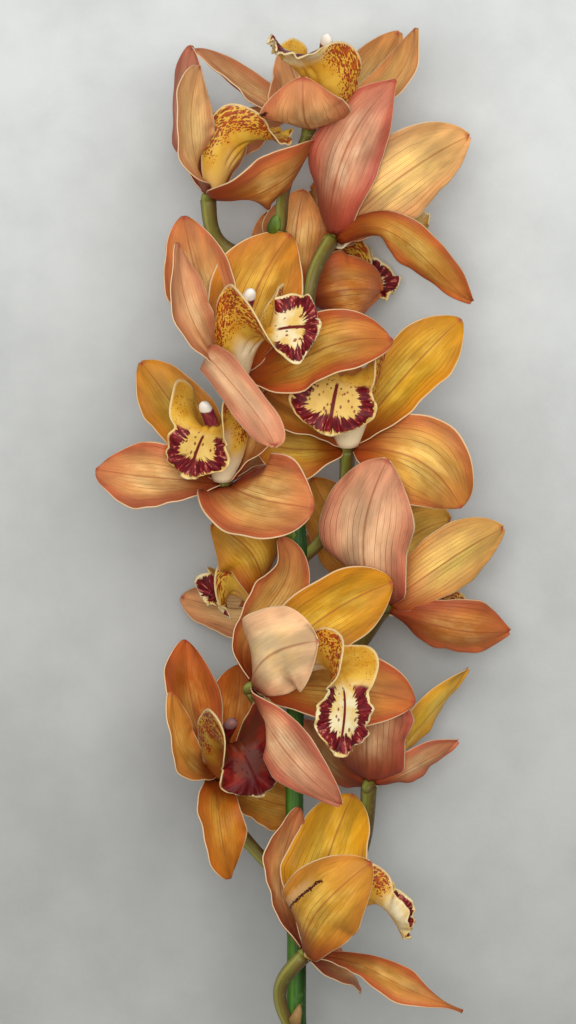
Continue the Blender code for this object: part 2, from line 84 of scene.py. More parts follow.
# Shapes finer than the solids
TEPAL_RIM_THICKNESS = 0.35 * MM
TEPAL_TIP_LEAST = 0.02
MARGIN_SWELL = 0.04
MARGIN_BEATS = 1.4
RIB_DEPTH = 0.55 * MM
RIB_HALF_SHARE = 0.07
PLEAT_DEPTH = 0.1 * MM
PLEAT_BEATS = 5
TEPAL_WAVE = 1.3 * MM
TEPAL_WAVE_BEATS = (1.3, 2.3)
TEPAL_RIPPLE = 0.25 * MM
TEPAL_RIPPLES_PER_WAVE = 3.1
TEPAL_REFLEX = 1.3 * MM
TEPAL_SWAY = 0.9 * MM
TEPAL_SWAY_BEATS = 0.8
TEPAL_TWIST = 16
LIP_THICKNESS = 0.9 * MM
LIP_RIM_THICKNESS = 0.45 * MM
LIP_TIP_FROM = 0.86
LIP_TIP_END = 1.005
LIP_TIP_HALF = 13.6
LIP_TIP_STRETCH = 1.15
LIP_EDGE_BLEND = 1.2
MIDLOBE_CENTRE = 0.82
RUFFLE_HEIGHT = 1.3 * MM
RUFFLE_LEAST_BEATS = 6
WALL_WAVE = 0.5 * MM
WALL_BEATS = 46
KEEL_HEIGHT = 1.1 * MM
KEEL_ASIDE = 0.11
KEEL_HALF_SHARE = 0.05
COLUMN_END_RADIUS = 0.3 * MM
COLUMN_FLATNESS = 0.35
NODE_SWELLING = 0.9 * MM
NODE_REACH = 5 * MM
STALK_RIBS = 6
STALK_RIB_SHARE = 0.04
STALK_END_GAP = 0.63 * MM
BALL_RIBS = 3
BALL_RIB_SHARE = 0.05
BALL_NARROWNESS = 0.85
BRACT_CURL = 50
BRACT_THICKNESS = 0.5 * MM
BRACT_LEAST_HALF = 0.1 * MM
BRACT_YELLOWNESS = 0.3

# Curls and lengths below these count as none
LEAST_CURL = 0.001
LEAST_LENGTH = 1e-12

# Kinds of green surfaces: the last two numbers say how dry and how stalk-like they are
STEM_KIND = (0, 0, 0)
STALK_KIND = (0, 0, 1)

# Numbers kept for the tepals of a bloom, the step between the seeds of the blades' markings,
# and the seed that the lips' shapes start from
TEPAL_NUMBERS = 10
SEED_STEP = 7.0
LIP_SEED = 500

# Share of the light that passes through each kind of surface, and how strongly all of them gleam
TEPAL_GLOW = 0.18
LIP_GLOW = 0.16
COLUMN_GLOW = 0.06
STEM_GLOW = 0.03
SPECULAR = 0.25

# Depths of the fine relief on each kind of surface
TEPAL_BUMP = 0.25 * MM
LIP_BUMP = 0.12 * MM
COLUMN_BUMP = 0.15 * MM
STEM_BUMP = 0.25 * MM
FLOOR_BUMP = 0.1 * MM

# Counts and sizes of the painted marks
MAIN_VEINS = 16
FINE_VEINS = 48
RAY_BEATS = 10
BAND_JAGS = 7
SCAR_JAGS = 3.2
FLOOR_CLOUDS = 14
FLOOR_FIBRES = 420

# Camera, floor and lights
SENSOR_HEIGHT = 36
FLOOR_SIZE = 6
LIGHTS = dict(
    key=dict(place=(0.1, 0.5, 1.7), size=1.3, power=21),
    fill=dict(place=(-0.15, 0.15, 2.4), size=0.6, power=12.5),
)
SKY_STRENGTH = 0.38

# Colours as the eye reads them, 0 to 255 each
HUES = dict(
    pale_tepal=(254, 222, 166),
    vein=(160, 66, 36),
    midrib=(170, 84, 42),
    tepal_rim=(252, 222, 172),
    tepal_point=(186, 70, 60),
    light_through=(255, 200, 110),
    scar_dry=(226, 178, 118),
    scar_dark=(84, 18, 14),
    cream=(250, 236, 190),
    custard=(240, 202, 112),
    maroon_crack=(214, 140, 112),
    lip_line=(112, 24, 20),
    lip_dot=(120, 24, 24),
    lip_rim=(244, 220, 160),
    column_fleck=(160, 50, 40),
    column_tan=(200, 140, 50),
    # painted shade along one side of the stem
    stem_shaded=(22, 54, 14),
    stem_line=(60, 96, 26),
    stem_fleck=(150, 168, 84),
    # partly brown colour, partly painted shade on the dark side of the stalks
    stalk_tan_and_shade=(88, 54, 22),
    husk=(150, 112, 66),
)

# Pairs of colours that blend into each other
PAIRS = dict(
    peach=((214, 112, 66), (242, 180, 138)),
    gold=((226, 144, 0), (242, 192, 26)),
    # browner tepals: partly their own tone, partly painted shade for tepals in shadow
    bronze_and_shade=((152, 56, 0), (196, 102, 12)),
    # painted highlight colours for peach and for golden tepals
    glint=((252, 214, 170), (252, 220, 84)),
    rust=((198, 100, 76), (196, 92, 24)),
    # painted shade at the foot, for peach and for golden tepals
    painted_foot_shade=((168, 64, 42), (168, 66, 0)),
    lip=((236, 190, 72), (222, 160, 42)),
    freckle=((132, 22, 14), (184, 66, 22)),
    maroon=((88, 4, 14), (142, 26, 32)),
    # painted shade: deep reds for a lip and a column that lie in shadow
    shaded_lip=((90, 4, 8), (140, 26, 12)),
    shaded_column=((96, 16, 16), (130, 34, 22)),
    stem=((38, 84, 16), (70, 114, 30)),
    stalk=((130, 136, 48), (132, 100, 50)),
    # painted highlights along one side of the stem and of the stalks
    sheen=((104, 158, 58), (176, 176, 84)),
    # painted light falloff: the floor darker near the bottom and the left, lighter far off
    floor=((166, 167, 163), (208, 211, 209)),
)

# Along the lip: share of its run, half of its width in mm, half of its curl in degrees,
# and how far its edges reach forward in mm
LIP_PROFILE = (
    (0.00, 4.5, 70, 0),
    (0.10, 9.5, 84, 0),
    (0.22, 14.0, 86, 4),
    (0.36, 18.0, 86, 11),
    (0.46, 18.5, 82, 14),
    (0.56, 14.5, 66, 9),
    (0.68, 11.0, 22, 1),
    (0.84, 14.0, -14, 0),
    (0.94, 10.5, -26, -2),
    (1.00, 4.0, -26, -3),
)

# Along the column: share of its run and its radius in mm
COLUMN_PROFILE = ((0.0, 2.0), (0.35, 2.1), (0.7, 2.6), (0.9, 2.6), (1.0, 1.4))

# Along the column: share of its run and its colour
COLUMN_TONES = (
    (0.0, (214, 170, 60)),
    (0.5, (226, 178, 60)),
    (0.68, (150, 50, 70)),
    (0.86, (120, 24, 60)),
    (0.88, (246, 240, 224)),
    (1.0, (252, 248, 238)),
)

# The stem's middle line, from the cut end to the tip
STEM_RUN = (
    (288, 1440, -57.5),
    (294, 1300, -46),
    (297, 1150, -14),
    (296, 1024, 0),
    (297, 920, 0),
    (294, 800, 0),
    (296, 660, 0),
    (297, 545, 0),
    (296, 440, 0),
    (290, 330, 0),
    (279, 232, 0),
)


def tepal(*run, width, face=None, cup=34, foot=0.45, tail=1.0, widest=0.56):
    """One sepal or petal: the points its run passes, its width in mm, the way its inner face looks,
    half of its curl in degrees, how wide its foot is as a share of its width, how drawn out its tip,
    and the share of its run where it is widest."""
    return dict(run=run, width=width, face=face, cup=cup, foot=foot, tail=tail, widest=widest)


def lip(throat, tip, face=None, width=1.0, reach=1.0, roll=0):
    """A lip: the throat and tip its run passes, the way its mid-lobe looks, its relative width,
    how far its side lobes reach forward, and how far its mid-lobe rolls up, in degrees."""
    return dict(throat=throat, tip=tip, face=face, width=width, reach=reach, roll=roll)


# Every bloom: middle, facing, the side that its lip hangs on, and its parts
BLOOMS = {
    "bloom_01": dict(
        middle=(310, 129, -4), facing=(-0.08, 0.92, 0.38), lip_side=(-0.6, -0.15, 0.78),
        stalk=((279, 232, 0), (284, 190, -8), (294, 165, -11), (304, 148, -9)),
        dorsal=tepal((366, 84, -26), (399, 32, -22), width=25),
        petal_near=tepal((391, 88, -7), (415, 28, -4), width=26, face=(-0.75, 0.25, 0.6)),
        petal_far=tepal((258, 97, -14), (196, 49, -10), width=20, face=(0.1, 0.9, 0.42), cup=50),
        sepal_near=tepal(
            (309, 128, 17), (304, 114, 34), (303, 77, 40), width=36, face=(0.1, 0.3, -0.95), cup=40, foot=0.05
        ),
        sepal_far=tepal((300, 96, -18), (283, 50, -20), width=24),
        lip=lip((303, 64, 24), (267, 41, 30), face=(-0.3, 0.9, 0.25), width=1.12, reach=0.3),
        cap=(327, 34, 20),
    ),
    "bloom_02": dict(
        middle=(208, 198, 6), facing=(0.3, 0.85, 0.42), lip_side=(0.5, -0.75, 0.4),
        stalk=((280, 268, 0), (243, 254, 0), (218, 240, 1), (210, 220, 4)),
        dorsal=tepal((186, 118, -12), (193, 46, -8), width=26, face=(0.75, 0.1, -0.65)),
        petal_near=tepal((190, 128, 33), (200, 66, 24), width=23, face=(0.7, 0.1, 0.7), foot=0.2),
        petal_far=tepal((220, 138, -26), (222, 112, -48), width=22),
        sepal_near=tepal((252, 196, 16), (313, 144, -4), width=28, face=(-0.2, 0.7, -0.68), foot=0.8),
        sepal_far=tepal((246, 130, -34), (292, 112, -46), width=18),
        lip=lip((250, 142, 8), (291, 135, 1), face=(-0.1, 0.9, 0.4), width=0.9, reach=0.4),
        cap=(238, 112, 8),
    ),
    "bloom_03": dict(
        middle=(236, 380, 23), facing=(0.26, 0.83, 0.48), lip_side=(0.45, -0.75, 0.48),
        stalk=((295, 430, 0), (276, 425, 2), (256, 412, 9), (243, 397, 16)),
        dorsal=tepal((202, 296, 12), (184, 216, 8), width=27, face=(0.3, 0.1, 0.95)),
        petal_near=tepal((187, 306, 52), (179, 243, 52), width=25, face=(0.75, 0.1, 0.6), foot=0.3),
        petal_far=tepal((254, 296, 10), (290, 234, 4), width=35, face=(0.0, 0.1, 1.0)),
        sepal_near=tepal(
            (208, 356, 44), (236, 388, 56), (275, 446, 58),
            width=13, face=(0.5, -0.5, -0.7), foot=0.1, tail=0.45, widest=0.8,
        ),
        sepal_far=tepal((262, 376, 25), (328, 348, 41), (393, 340, 38), width=30, face=(-0.1, 0.25, 0.95)),
        lip=lip((257, 340, 42), (322, 328, 51), face=(0.1, 0.4, 0.9), width=1.08),
        cap=(252, 289, 44),
    ),
    "bloom_04": dict(
        middle=(331, 240, -6), facing=(0.75, 0.25, -0.6), lip_side=(0.35, -0.92, 0.0),
        stalk=((294, 345, 0), (308, 310, 4), (312, 280, 4), (322, 255, 0)),
        dorsal=tepal((339, 168, 6), (396, 80, 15), width=29, face=(0.3, 0.1, -0.95), foot=0.6, tail=1.7),
        petal_near=tepal((398, 178, 2), (469, 136, -6), width=31, face=(0.1, 0.2, -0.95), cup=20),
        petal_far=tepal((322, 212, -38), (312, 192, -74), width=22, foot=0.3),
        sepal_near=tepal(
            (396, 234, 8), (436, 268, 4), (472, 301, -4), width=16, face=(0.0, 0.5, -0.8), cup=50, tail=1.5
        ),
        sepal_far=tepal((344, 225, -40), (350, 218, -74), width=18, foot=0.2),
        lip=lip((400, 230, -26), (426, 238, -30), reach=0.5),
        cap=(395, 196, -30),
    ),
    "bloom_05": dict(
        middle=(302, 300, -26), facing=(0.45, 0.45, -0.75), lip_side=(0.85, -0.35, 0.2),
        stalk=((294, 350, 0), (296, 335, -8), (300, 318, -16)),
        dorsal=tepal((284, 258, -30), (268, 212, -34), width=22, face=(0.1, -0.1, -1.0)),
        petal_near=tepal((295, 250, -17), (304, 190, -17), width=24, face=(0.1, -0.1, -1.0)),
        petal_far=tepal((282, 272, -43), (270, 258, -74), width=20, foot=0.3),
        sepal_near=tepal((346, 290, -13), (380, 292, -30), width=31, face=(0.1, 0.1, -1.0)),
        sepal_far=tepal((310, 324, -48), (320, 342, -74), width=18, foot=0.3),
        lip=lip((352, 280, -44), (386, 300, -38), face=(0.5, 0.2, 0.85), reach=0.3),
        cap=(338, 262, -54),
    ),
    "bloom_06": dict(
        middle=(226, 485, 18), facing=(-0.25, 0.85, 0.46), lip_side=(-0.5, -0.45, 0.75),
        stalk=((297, 540, 0), (272, 524, 0), (245, 506, 6), (231, 496, 12)),
        dorsal=tepal((254, 434, -14), (262, 384, -18), width=22),
        petal_near=tepal((256, 448, 24), (258, 408, 18), width=22),
        petal_far=tepal((184, 420, 6), (141, 362, 4), width=26, face=(0.3, -0.2, 0.9)),
        sepal_near=tepal((262, 499, 44), (314, 508, 52), width=38, face=(0.1, 0.3, 0.95), foot=0.6),
        sepal_far=tepal((158, 478, 24), (96, 469, 16), width=26, face=(0.1, 0.2, 0.97)),
        lip=lip((210, 430, 32), (188, 480, 38), face=(-0.45, 0.2, 0.85), width=1.05, reach=0.8),
        cap=(202, 402, 32),
    ),
    "bloom_07": dict(
        middle=(347, 448, 6), facing=(0.0, 0.72, 0.69), lip_side=(-0.15, -0.68, 0.72),
        stalk=((298, 560, 0), (325, 535, -6), (342, 500, -6), (347, 470, 0)),
        dorsal=tepal((340, 398, -14), (330, 345, -16), width=26),
        petal_near=tepal((298, 414, 14), (264, 392, 14), width=24, foot=0.15),
        petal_far=tepal((399, 382, 2), (461, 319, -4), width=26, face=(-0.3, 0.1, 0.95)),
        sepal_near=tepal((300, 450, 12), (256, 440, 16), width=26, face=(0.1, 0.3, 0.95)),
        sepal_far=tepal((404, 454, 8), (461, 508, -2), width=33, face=(-0.1, 0.3, 0.95), foot=0.7),
        lip=lip((340, 378, 28), (328, 437, 36), face=(0.0, 0.15, 1.0), width=1.2, reach=0.8),
        cap=(345, 378, 18),
    ),
    "bloom_08": dict(
        middle=(384, 608, -12), facing=(0.75, 0.25, -0.6), lip_side=(0.45, -0.55, -0.7),
        stalk=((296, 690, 0), (325, 680, -14), (352, 655, -20), (372, 626, -17)),
        dorsal=tepal((348, 546, -18), (312, 478, -22), width=26, face=(0.3, 0.1, -0.95)),
        petal_near=tepal((364, 538, 12), (388, 459, 24), width=36, face=(0.2, 0.1, -0.97), foot=0.6),
        petal_far=tepal((398, 553, -27), (450, 520, -48), width=28, face=(0.2, 0.1, -0.97), foot=0.2),
        sepal_near=tepal(
            (448, 627, -13), (509, 631, -26), width=23, face=(0.0, 0.4, -0.9), cup=45, foot=0.25, tail=1.3
        ),
        sepal_far=tepal((446, 562, -8), (503, 528, -16), width=25, face=(0.1, 0.2, -0.95)),
        lip=lip((437, 622, -50), (456, 640, -60), reach=0.3),
        cap=(446, 594, -42),
    ),
    "bloom_09": dict(
        middle=(252, 688, 22), facing=(0.76, 0.33, 0.56), lip_side=(0.35, -0.75, 0.56),
        stalk=((293, 764, 0), (283, 738, -1), (268, 712, 4), (257, 699, 13)),
        dorsal=tepal((250, 630, 10), (288, 575, 14), (280, 537, 16), width=20, face=(0.5, 0.1, 0.85), cup=45),
        petal_near=tepal((274, 653, 49), (319, 641, 62), width=36, face=(0.2, 0.1, -0.97), cup=26, foot=0.15),
        petal_far=tepal((322, 618, 12), (393, 582, 6), width=31, face=(0.1, -0.1, 1.0)),
        sepal_near=tepal((282, 746, 50), (341, 804, 48), width=20, face=(0.1, 0.2, -0.97), cup=30),
        sepal_far=tepal((345, 688, 12), (415, 702, 9), width=30, face=(0.1, 0.1, 1.0)),
        lip=lip((334, 672, 41), (337, 757, 48), face=(0.6, 0.1, 0.8), width=0.93, reach=0.5),
        cap=(326, 656, 36),
    ),
    "bloom_10": dict(
        middle=(262, 598, -14), facing=(-0.85, 0.2, -0.15), lip_side=(-0.3, -0.85, 0.35),
        stalk=((296, 650, 0), (286, 634, -10), (274, 614, -14)),
        dorsal=tepal((297, 566, -30), (310, 524, -40), width=18, face=(0.95, 0.0, 0.2)),
        petal_near=tepal((254, 557, -2), (212, 524, -4), width=26, face=(0.1, 0.1, -1.0)),
        petal_far=tepal((244, 578, -42), (238, 562, -74), width=22),
        sepal_near=tepal((260, 634, -16), (268, 668, -22), width=20),
        sepal_far=tepal((224, 608, -45), (181, 597, -49), width=23, face=(0.1, 0.1, 1.0)),
        lip=lip((236, 594, -15), (205, 604, -12), face=(-0.6, 0.0, 0.8), width=0.84, reach=0.3),
        cap=(222, 569, -20),
    ),
    "bloom_11": dict(
        middle=(217, 775, 6), facing=(0.3, 0.58, 0.75), lip_side=(0.4, -0.85, 0.35),
        stalk=((297, 895, 0), (272, 868, -3), (243, 836, -6), (219, 800, -8)),
        dorsal=tepal((192, 708, -2), (186, 640, -8), width=24, face=(0.4, 0.1, 0.9)),
        petal_near=tepal((180, 742, 38), (172, 692, 42), width=18, face=(0.9, 0.1, 0.4), cup=40, foot=0.15),
        petal_far=tepal((236, 712, -8), (240, 664, -16), width=24),
        sepal_near=tepal((220, 828, 28), (231, 878, 22), width=20, face=(0.3, 0.4, 0.8), cup=40),
        sepal_far=tepal((262, 800, -10), (300, 808, -22), width=22, face=(0.0, 0.3, 0.9)),
        lip=lip((234, 746, 22), (262, 797, 26), face=(0.3, 0.1, 0.95), width=1.0, reach=0.8),
        cap=(234, 721, 29),
    ),
    "bloom_12": dict(
        middle=(369, 785, -18), facing=(0.3, 0.65, -0.7), lip_side=(0.5, -0.5, -0.5),
        stalk=((297, 915, 0), (330, 898, -16), (358, 860, -24), (367, 820, -22)),
        dorsal=tepal((325, 756, -28), (300, 720, -34), width=22),
        petal_near=tepal((367, 728, 0), (372, 668, -6), width=35, face=(0.1, 0.1, -1.0), cup=40, foot=0.7),
        petal_far=tepal((338, 742, -40), (334, 712, -74), width=24, foot=0.2),
        sepal_near=tepal((420, 764, -14), (457, 740, -20), width=15, face=(0.0, 0.6, -0.8), cup=45, tail=1.8),
        sepal_far=tepal(
            (424, 722, -25), (467, 668, -36), width=17, face=(-0.4, 0.6, -0.7), cup=45, foot=0.3, tail=1.8
        ),
        lip=lip((384, 760, -52), (394, 780, -60), width=0.8, reach=0.5),
        cap=(381, 716, -42),
    ),
    "bloom_13": dict(
        middle=(304, 955, 20), facing=(0.8, 0.42, 0.42), lip_side=(0.35, -0.8, 0.5),
        stalk=((298, 1040, 0), (284, 1014, 6), (280, 990, 12), (292, 968, 19)),
        dorsal=tepal((281, 880, 10), (300, 808, 6), width=22, face=(0.7, 0.0, 0.7), cup=40),
        petal_near=tepal((322, 906, 50), (371, 862, 56), width=32, face=(0.1, 0.1, -1.0), cup=30, foot=0.4),
        petal_far=tepal((324, 870, 7), (353, 794, -4), width=32, face=(0.0, 0.0, 1.0)),
        sepal_near=tepal(
            (346, 961, 16), (380, 974, 27), (463, 1010, 28),
            width=14, face=(0.0, 0.7, 0.6), foot=0.15, tail=2.6,
        ),
        sepal_far=tepal((335, 968, 8), (352, 974, -20), width=18),
        lip=lip((382, 906, 31), (405, 941, 31), face=(0.9, 0.35, 0.15), reach=0.3, roll=80),
        cap=(360, 878, 28),
    ),
}

TEPAL_ROLES = ("dorsal", "petal_near", "petal_far", "sepal_near", "sepal_far")

# Looks of lips, where they differ from a pale one with a cream middle and a maroon band
LIP_LOOKS = dict(
    lip=dict(claw=(252, 234, 190)),
    golden_lip=dict(claw=(252, 234, 190), middle=(228, 186, 92)),
    warm_lip=dict(claw=(226, 168, 84)),
    plain_lip=dict(claw=(232, 184, 96), inside=1.0, banded=0.0),
    # painted shade: the pale lip darkened inside, for a lip in shadow
    shaded_lip=dict(claw=(190, 110, 40), shading=1.0),
)

# Blooms whose lip has another look than that pale one
BLOOM_LIPS = dict(
    bloom_01="warm_lip",
    bloom_02="plain_lip",
    bloom_06="golden_lip",
    bloom_07="golden_lip",
    bloom_10="warm_lip",
    # bloom 11's lip and column lie in shadow and get painted shade
    bloom_11="shaded_lip",
    bloom_13="warm_lip",
)

# Tears in a tepal, in mm across and along it: start, end, half of the width, reach of the dry edge,
# and the number of the tepal: ten times its bloom's, plus the place of its role, counted from 0
SCARS = (
    dict(start=(-11.0, 17.0), end=(-6.5, 44.0), half=0.6, dry=4.5, tepal=131),
    dict(start=(-17.0, 33.0), end=(-13.0, 38.0), half=0.9, dry=1.5, tepal=13),
)

# Small bracts where stalks leave the stem: start, tip, width in mm, and how dry and brown
BRACTS = (
    dict(run=((290, 1024, 3), (296, 1018, 13), (300, 1004, 12)), width=5.5, dry=1.0),
    dict(run=((279, 236, 0), (274, 228, 6), (277, 214, 7)), width=6.5, dry=0.0),
    dict(run=((297, 900, 0), (288, 886, 5), (286, 872, 5)), width=5.0, dry=0.35),
    dict(run=((296, 692, 0), (303, 680, 5), (304, 666, 4)), width=5.0, dry=0.2),
    dict(run=((296, 546, 0), (289, 532, 5), (286, 518, 4)), width=5.0, dry=0.1),
)

# Tones of each bloom's tepals, in the order of their roles: how golden, how blushed with pink, how deep.
# Depth browns a tepal, partly its own tone and partly painted shade for tepals in shadow; below zero it makes
# the tepal paler.
TONES = {
    "bloom_01": ((0.5, 0.5, 0.1), (0.5, 0.5, 0.0), (0.3, 0.6, 0.2), (0.35, 0.8, 0.0), (0.3, 0.5, 0.0)),
    "bloom_02": ((0.0, 0.9, 0.1), (0.5, 0.5, -0.25), (0.4, 0.4, 0.5), (0.6, 0.9, 0.6), (0.3, 0.4, 0.6)),
    "bloom_03": ((0.5, 0.8, 0.4), (0.2, 0.6, -0.1), (0.9, 0.5, 0.5), (0.1, 0.6, -0.05), (0.75, 1.0, 0.3)),
    "bloom_04": ((0.0, 1.0, 0.1), (0.65, 0.4, -0.25), (0.5, 0.4, 0.6), (0.75, 0.9, 0.4), (0.5, 0.4, 0.6)),
    "bloom_05": ((0.5, 0.5, 0.4), (0.5, 0.5, 0.4), (0.5, 0.4, 0.8), (0.6, 0.8, 0.8), (0.5, 0.4, 0.8)),
    "bloom_06": ((0.5, 0.4, 0.6), (0.5, 0.4, 0.6), (0.9, 0.5, 0.3), (0.5, 0.9, 0.2), (0.4, 0.9, 0.2)),
    "bloom_07": ((0.6, 0.4, 0.7), (0.8, 0.7, 0.6), (1.0, 0.4, 0.3), (0.9, 0.7, 0.4), (0.7, 0.8, 0.1)),
    "bloom_08": ((0.8, 0.4, 0.4), (0.05, 0.7, -0.25), (0.85, 0.3, -0.1), (0.5, 0.8, 0.8), (0.8, 0.4, -0.2)),
    "bloom_09": ((0.6, 0.9, 0.2), (0.4, 0.4, -0.6), (1.0, 0.4, 0.4), (0.1, 0.9, 0.0), (0.75, 1.0, 0.5)),
    "bloom_10": ((0.4, 0.5, 0.7), (0.9, 0.4, 0.35), (0.6, 0.5, 0.7), (0.6, 0.5, 0.7), (0.4, 0.6, -0.2)),
    "bloom_11": ((0.7, 0.8, 1.0), (0.7, 0.4, 0.5), (0.8, 0.5, 1.0), (0.9, 0.5, 0.75), (0.8, 0.4, 0.5)),
    "bloom_12": ((0.4, 0.8, 0.6), (0.15, 1.0, 0.25), (0.5, 0.5, 0.7), (0.2, 0.9, 0.3), (0.9, 0.4, 0.0)),
    "bloom_13": ((0.4, 0.8, 0.3), (0.85, 0.5, 0.3), (1.0, 0.3, 0.25), (0.6, 0.9, 0.4), (0.5, 0.7, 0.6)),
}


# Places and curves


def spot(across, down, rise):
    """A point of the front view in metres, as seen by an eye high above the middle of the stem."""
    height = rise * MM
    nearer = 1 - height / EYE_HEIGHT
    x = (across - VIEW_MIDDLE[0]) * VIEW_UNIT * nearer + VIEW_MIDDLE_PLACE[0]
    y = (VIEW_MIDDLE[1] - down) * VIEW_UNIT * nearer + VIEW_MIDDLE_PLACE[1]
    return np.array((x, y, height + STEM_REST_HEIGHT))


def unit(vectors):
    """Directions of length one, for one vector or many."""
    vectors = np.asarray(vectors, float)
    return vectors / np.linalg.norm(vectors, axis=-1, keepdims=True)


def across_to(vectors, axes):
    """The part of each direction that stands square to its axis."""
    vectors = np.asarray(vectors, float)
    return unit(vectors - axes * np.sum(vectors * axes, axis=-1, keepdims=True))


def ease(low, high, values):
    """Smooth step from 0 at low to 1 at high."""
    share = np.clip((np.asarray(values, float) - low) / (high - low), 0, 1)
    return share * share * (3 - 2 * share)


def smooth_run(points, shares):
    """Points at the given shares of one smooth curve through a few points."""
    points = np.array(points)
    steps = np.linalg.norm(np.diff(points, axis=0), axis=1)
    places = np.concatenate(((0,), np.cumsum(steps))) / steps.sum()
    factors = np.polyfit(places, points, len(points) - 1)
    return np.array([sum(f * s ** (len(factors) - 1 - i) for i, f in enumerate(factors)) for s in shares])


def softened(values, rounds):
    """Values with their corners rounded off, their ends kept."""
    values = np.array(values, float)
    for _ in range(rounds):
        values[1:-1] = (values[:-2] + 2 * values[1:-1] + values[2:]) / 4
    return values


def tangents(run):
    return unit(np.gradient(run, axis=0))


def blade_grid(run, hints, halves, curls, turns, reaches):
    """Points and normals of a blade whose rows are arcs that curl towards their hint.

    Reaches are steps that the edges of each row take forward."""
    along = tangents(run)
    up = across_to(hints, along)
    side = np.cross(up, along)
    curls = np.where(np.abs(curls) < LEAST_CURL, LEAST_CURL, curls)
    angles = curls[:, None] * turns
    radii = (halves / curls)[:, None]
    points = run[:, None] + side[:, None] * (radii * np.sin(angles))[..., None]
    points = points + up[:, None] * (radii * (1 - np.cos(angles)))[..., None]
    points = points + reaches[:, None] * (turns**2)[:, None]
    normals = up[:, None] * np.cos(angles)[..., None] - side[:, None] * np.sin(angles)[..., None]
    return points, normals


def surface_normals(points, like):
    """Normals of a grid of points, on the same side as the given ones."""
    down = np.gradient(points, axis=0)
    over = np.gradient(points, axis=1)
    normals = np.cross(down, over)
    length = np.linalg.norm(normals, axis=-1, keepdims=True)
    normals = np.where(length > LEAST_LENGTH, normals / np.maximum(length, LEAST_LENGTH), like)
    flip = np.sign(np.sum(normals * like, axis=-1, keepdims=True))
    return normals * np.where(flip == 0, 1, flip)


# Meshes


def spread(*grids):
    """Grids of numbers, stretched to one size and put side by side."""
    return np.stack(np.broadcast_arrays(*grids), axis=-1)


def crowded(rows, power):
    """Shares from 0 to 1 that lie closer together towards 1."""
    return 1 - (1 - np.linspace(0, 1, rows)) ** power


def turns_across(columns, crowding):
    """Shares from -1 to 1 across a blade that lie closer together at its edges."""
    even = np.linspace(-1, 1, columns)
    return crowding * np.sin(even * math.pi / 2) + (1 - crowding) * even


def run_length(run):
    return np.linalg.norm(np.diff(run, axis=0), axis=1).sum()


def put(name, data):
    """Adds an object to the scene."""
    made = bpy.data.objects.new(name, data)
    bpy.context.scene.collection.objects.link(made)
    return made


class Shape:
    """Points, faces and blade coordinates of one piece, gathered part by part."""

    def __init__(self):
        self.points = []
        self.faces = []
        self.paints = []
        self.rows = dict(share=[], kind=[], place=[])
        self.count = 0

    def add(self, points, faces, share, kind, place, paint=0):
        self.points.append(points)
        self.paints += [paint] * len(faces)
        self.faces += [tuple(self.count + index for index in face) for face in faces]
        for label, numbers in (("share", share), ("kind", kind), ("place", place)):
            self.rows[label].append(numbers)
        self.count += len(points)

    def piece(self, name, slot, *paints):
        """Makes the object that stands for its node."""
        mesh = bpy.data.meshes.new(name + "_fine")
        mesh.from_pydata(np.concatenate(self.points).tolist(), [], self.faces)
        for label, numbers in self.rows.items():
            layer = mesh.attributes.new(label, "FLOAT_VECTOR", "POINT")
            layer.data.foreach_set("vector", np.concatenate(numbers).astype(np.float32).ravel())
        for paint in paints:
            mesh.materials.append(paint)
        mesh.polygons.foreach_set("material_index", self.paints)
        mesh.shade_smooth()
        made = put(name + "_fine", mesh)
        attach(made, "root")
        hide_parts(name)


def blade_faces(rows, columns):
    """Faces of both sides of a blade, then of the rim between them."""
    under = rows * columns
    faces = []
    for i in range(rows - 1):
        for j in range(columns - 1):
            a = i * columns + j
            c = a + columns
            faces.append((a, c, c + 1, a + 1))
            faces.append((under + a, under + a + 1, under + c + 1, under + c))
    rim = list(range(columns))
    rim += [i * columns + columns - 1 for i in range(1, rows)]
    rim += [(rows - 1) * columns + j for j in range(columns - 2, -1, -1)]
    rim += [i * columns for i in range(rows - 2, 0, -1)]
    faces += [(a, b, under + b, under + a) for a, b in zip(rim, rim[1:] + rim[:1])]
    return faces


def add_blade(shape, points, normals, thickness, share, kind, place):
    """Adds a thin closed blade, lifted where it would sink into the floor.

    The third number of its share is 1 on the inner face and 0 on the outer one."""
    rows, columns = points.shape[:2]
    half = thickness[..., None] / 2
    top = points + normals * half
    bottom = points - normals * half
    lift = np.maximum(0, -np.minimum(top[..., 2], bottom[..., 2]))
    top[..., 2] += lift
    bottom[..., 2] += lift
    inner = np.repeat((1.0, 0.0), rows * columns)
    share = np.column_stack((np.tile(share.reshape(-1, 2), (2, 1)), inner))
    kind = np.tile(kind.reshape(-1, 3), (2, 1))
    place = np.tile(place.reshape(-1, 3), (2, 1))
    both = np.concatenate((top.reshape(-1, 3), bottom.reshape(-1, 3)))
    shape.add(both, blade_faces(rows, columns), share, kind, place)


def rod_faces(rings, sides):
    """Faces of a rod's wall, then of its two ends."""
    faces = []
    for i in range(rings - 1):
        for k in range(sides):
            a = i * sides + k
            b = i * sides + (k + 1) % sides
            faces.append((a, b, b + sides, a + sides))
    faces.append(tuple(range(sides - 1, -1, -1)))
    faces.append(tuple(range((rings - 1) * sides, rings * sides)))
    return faces


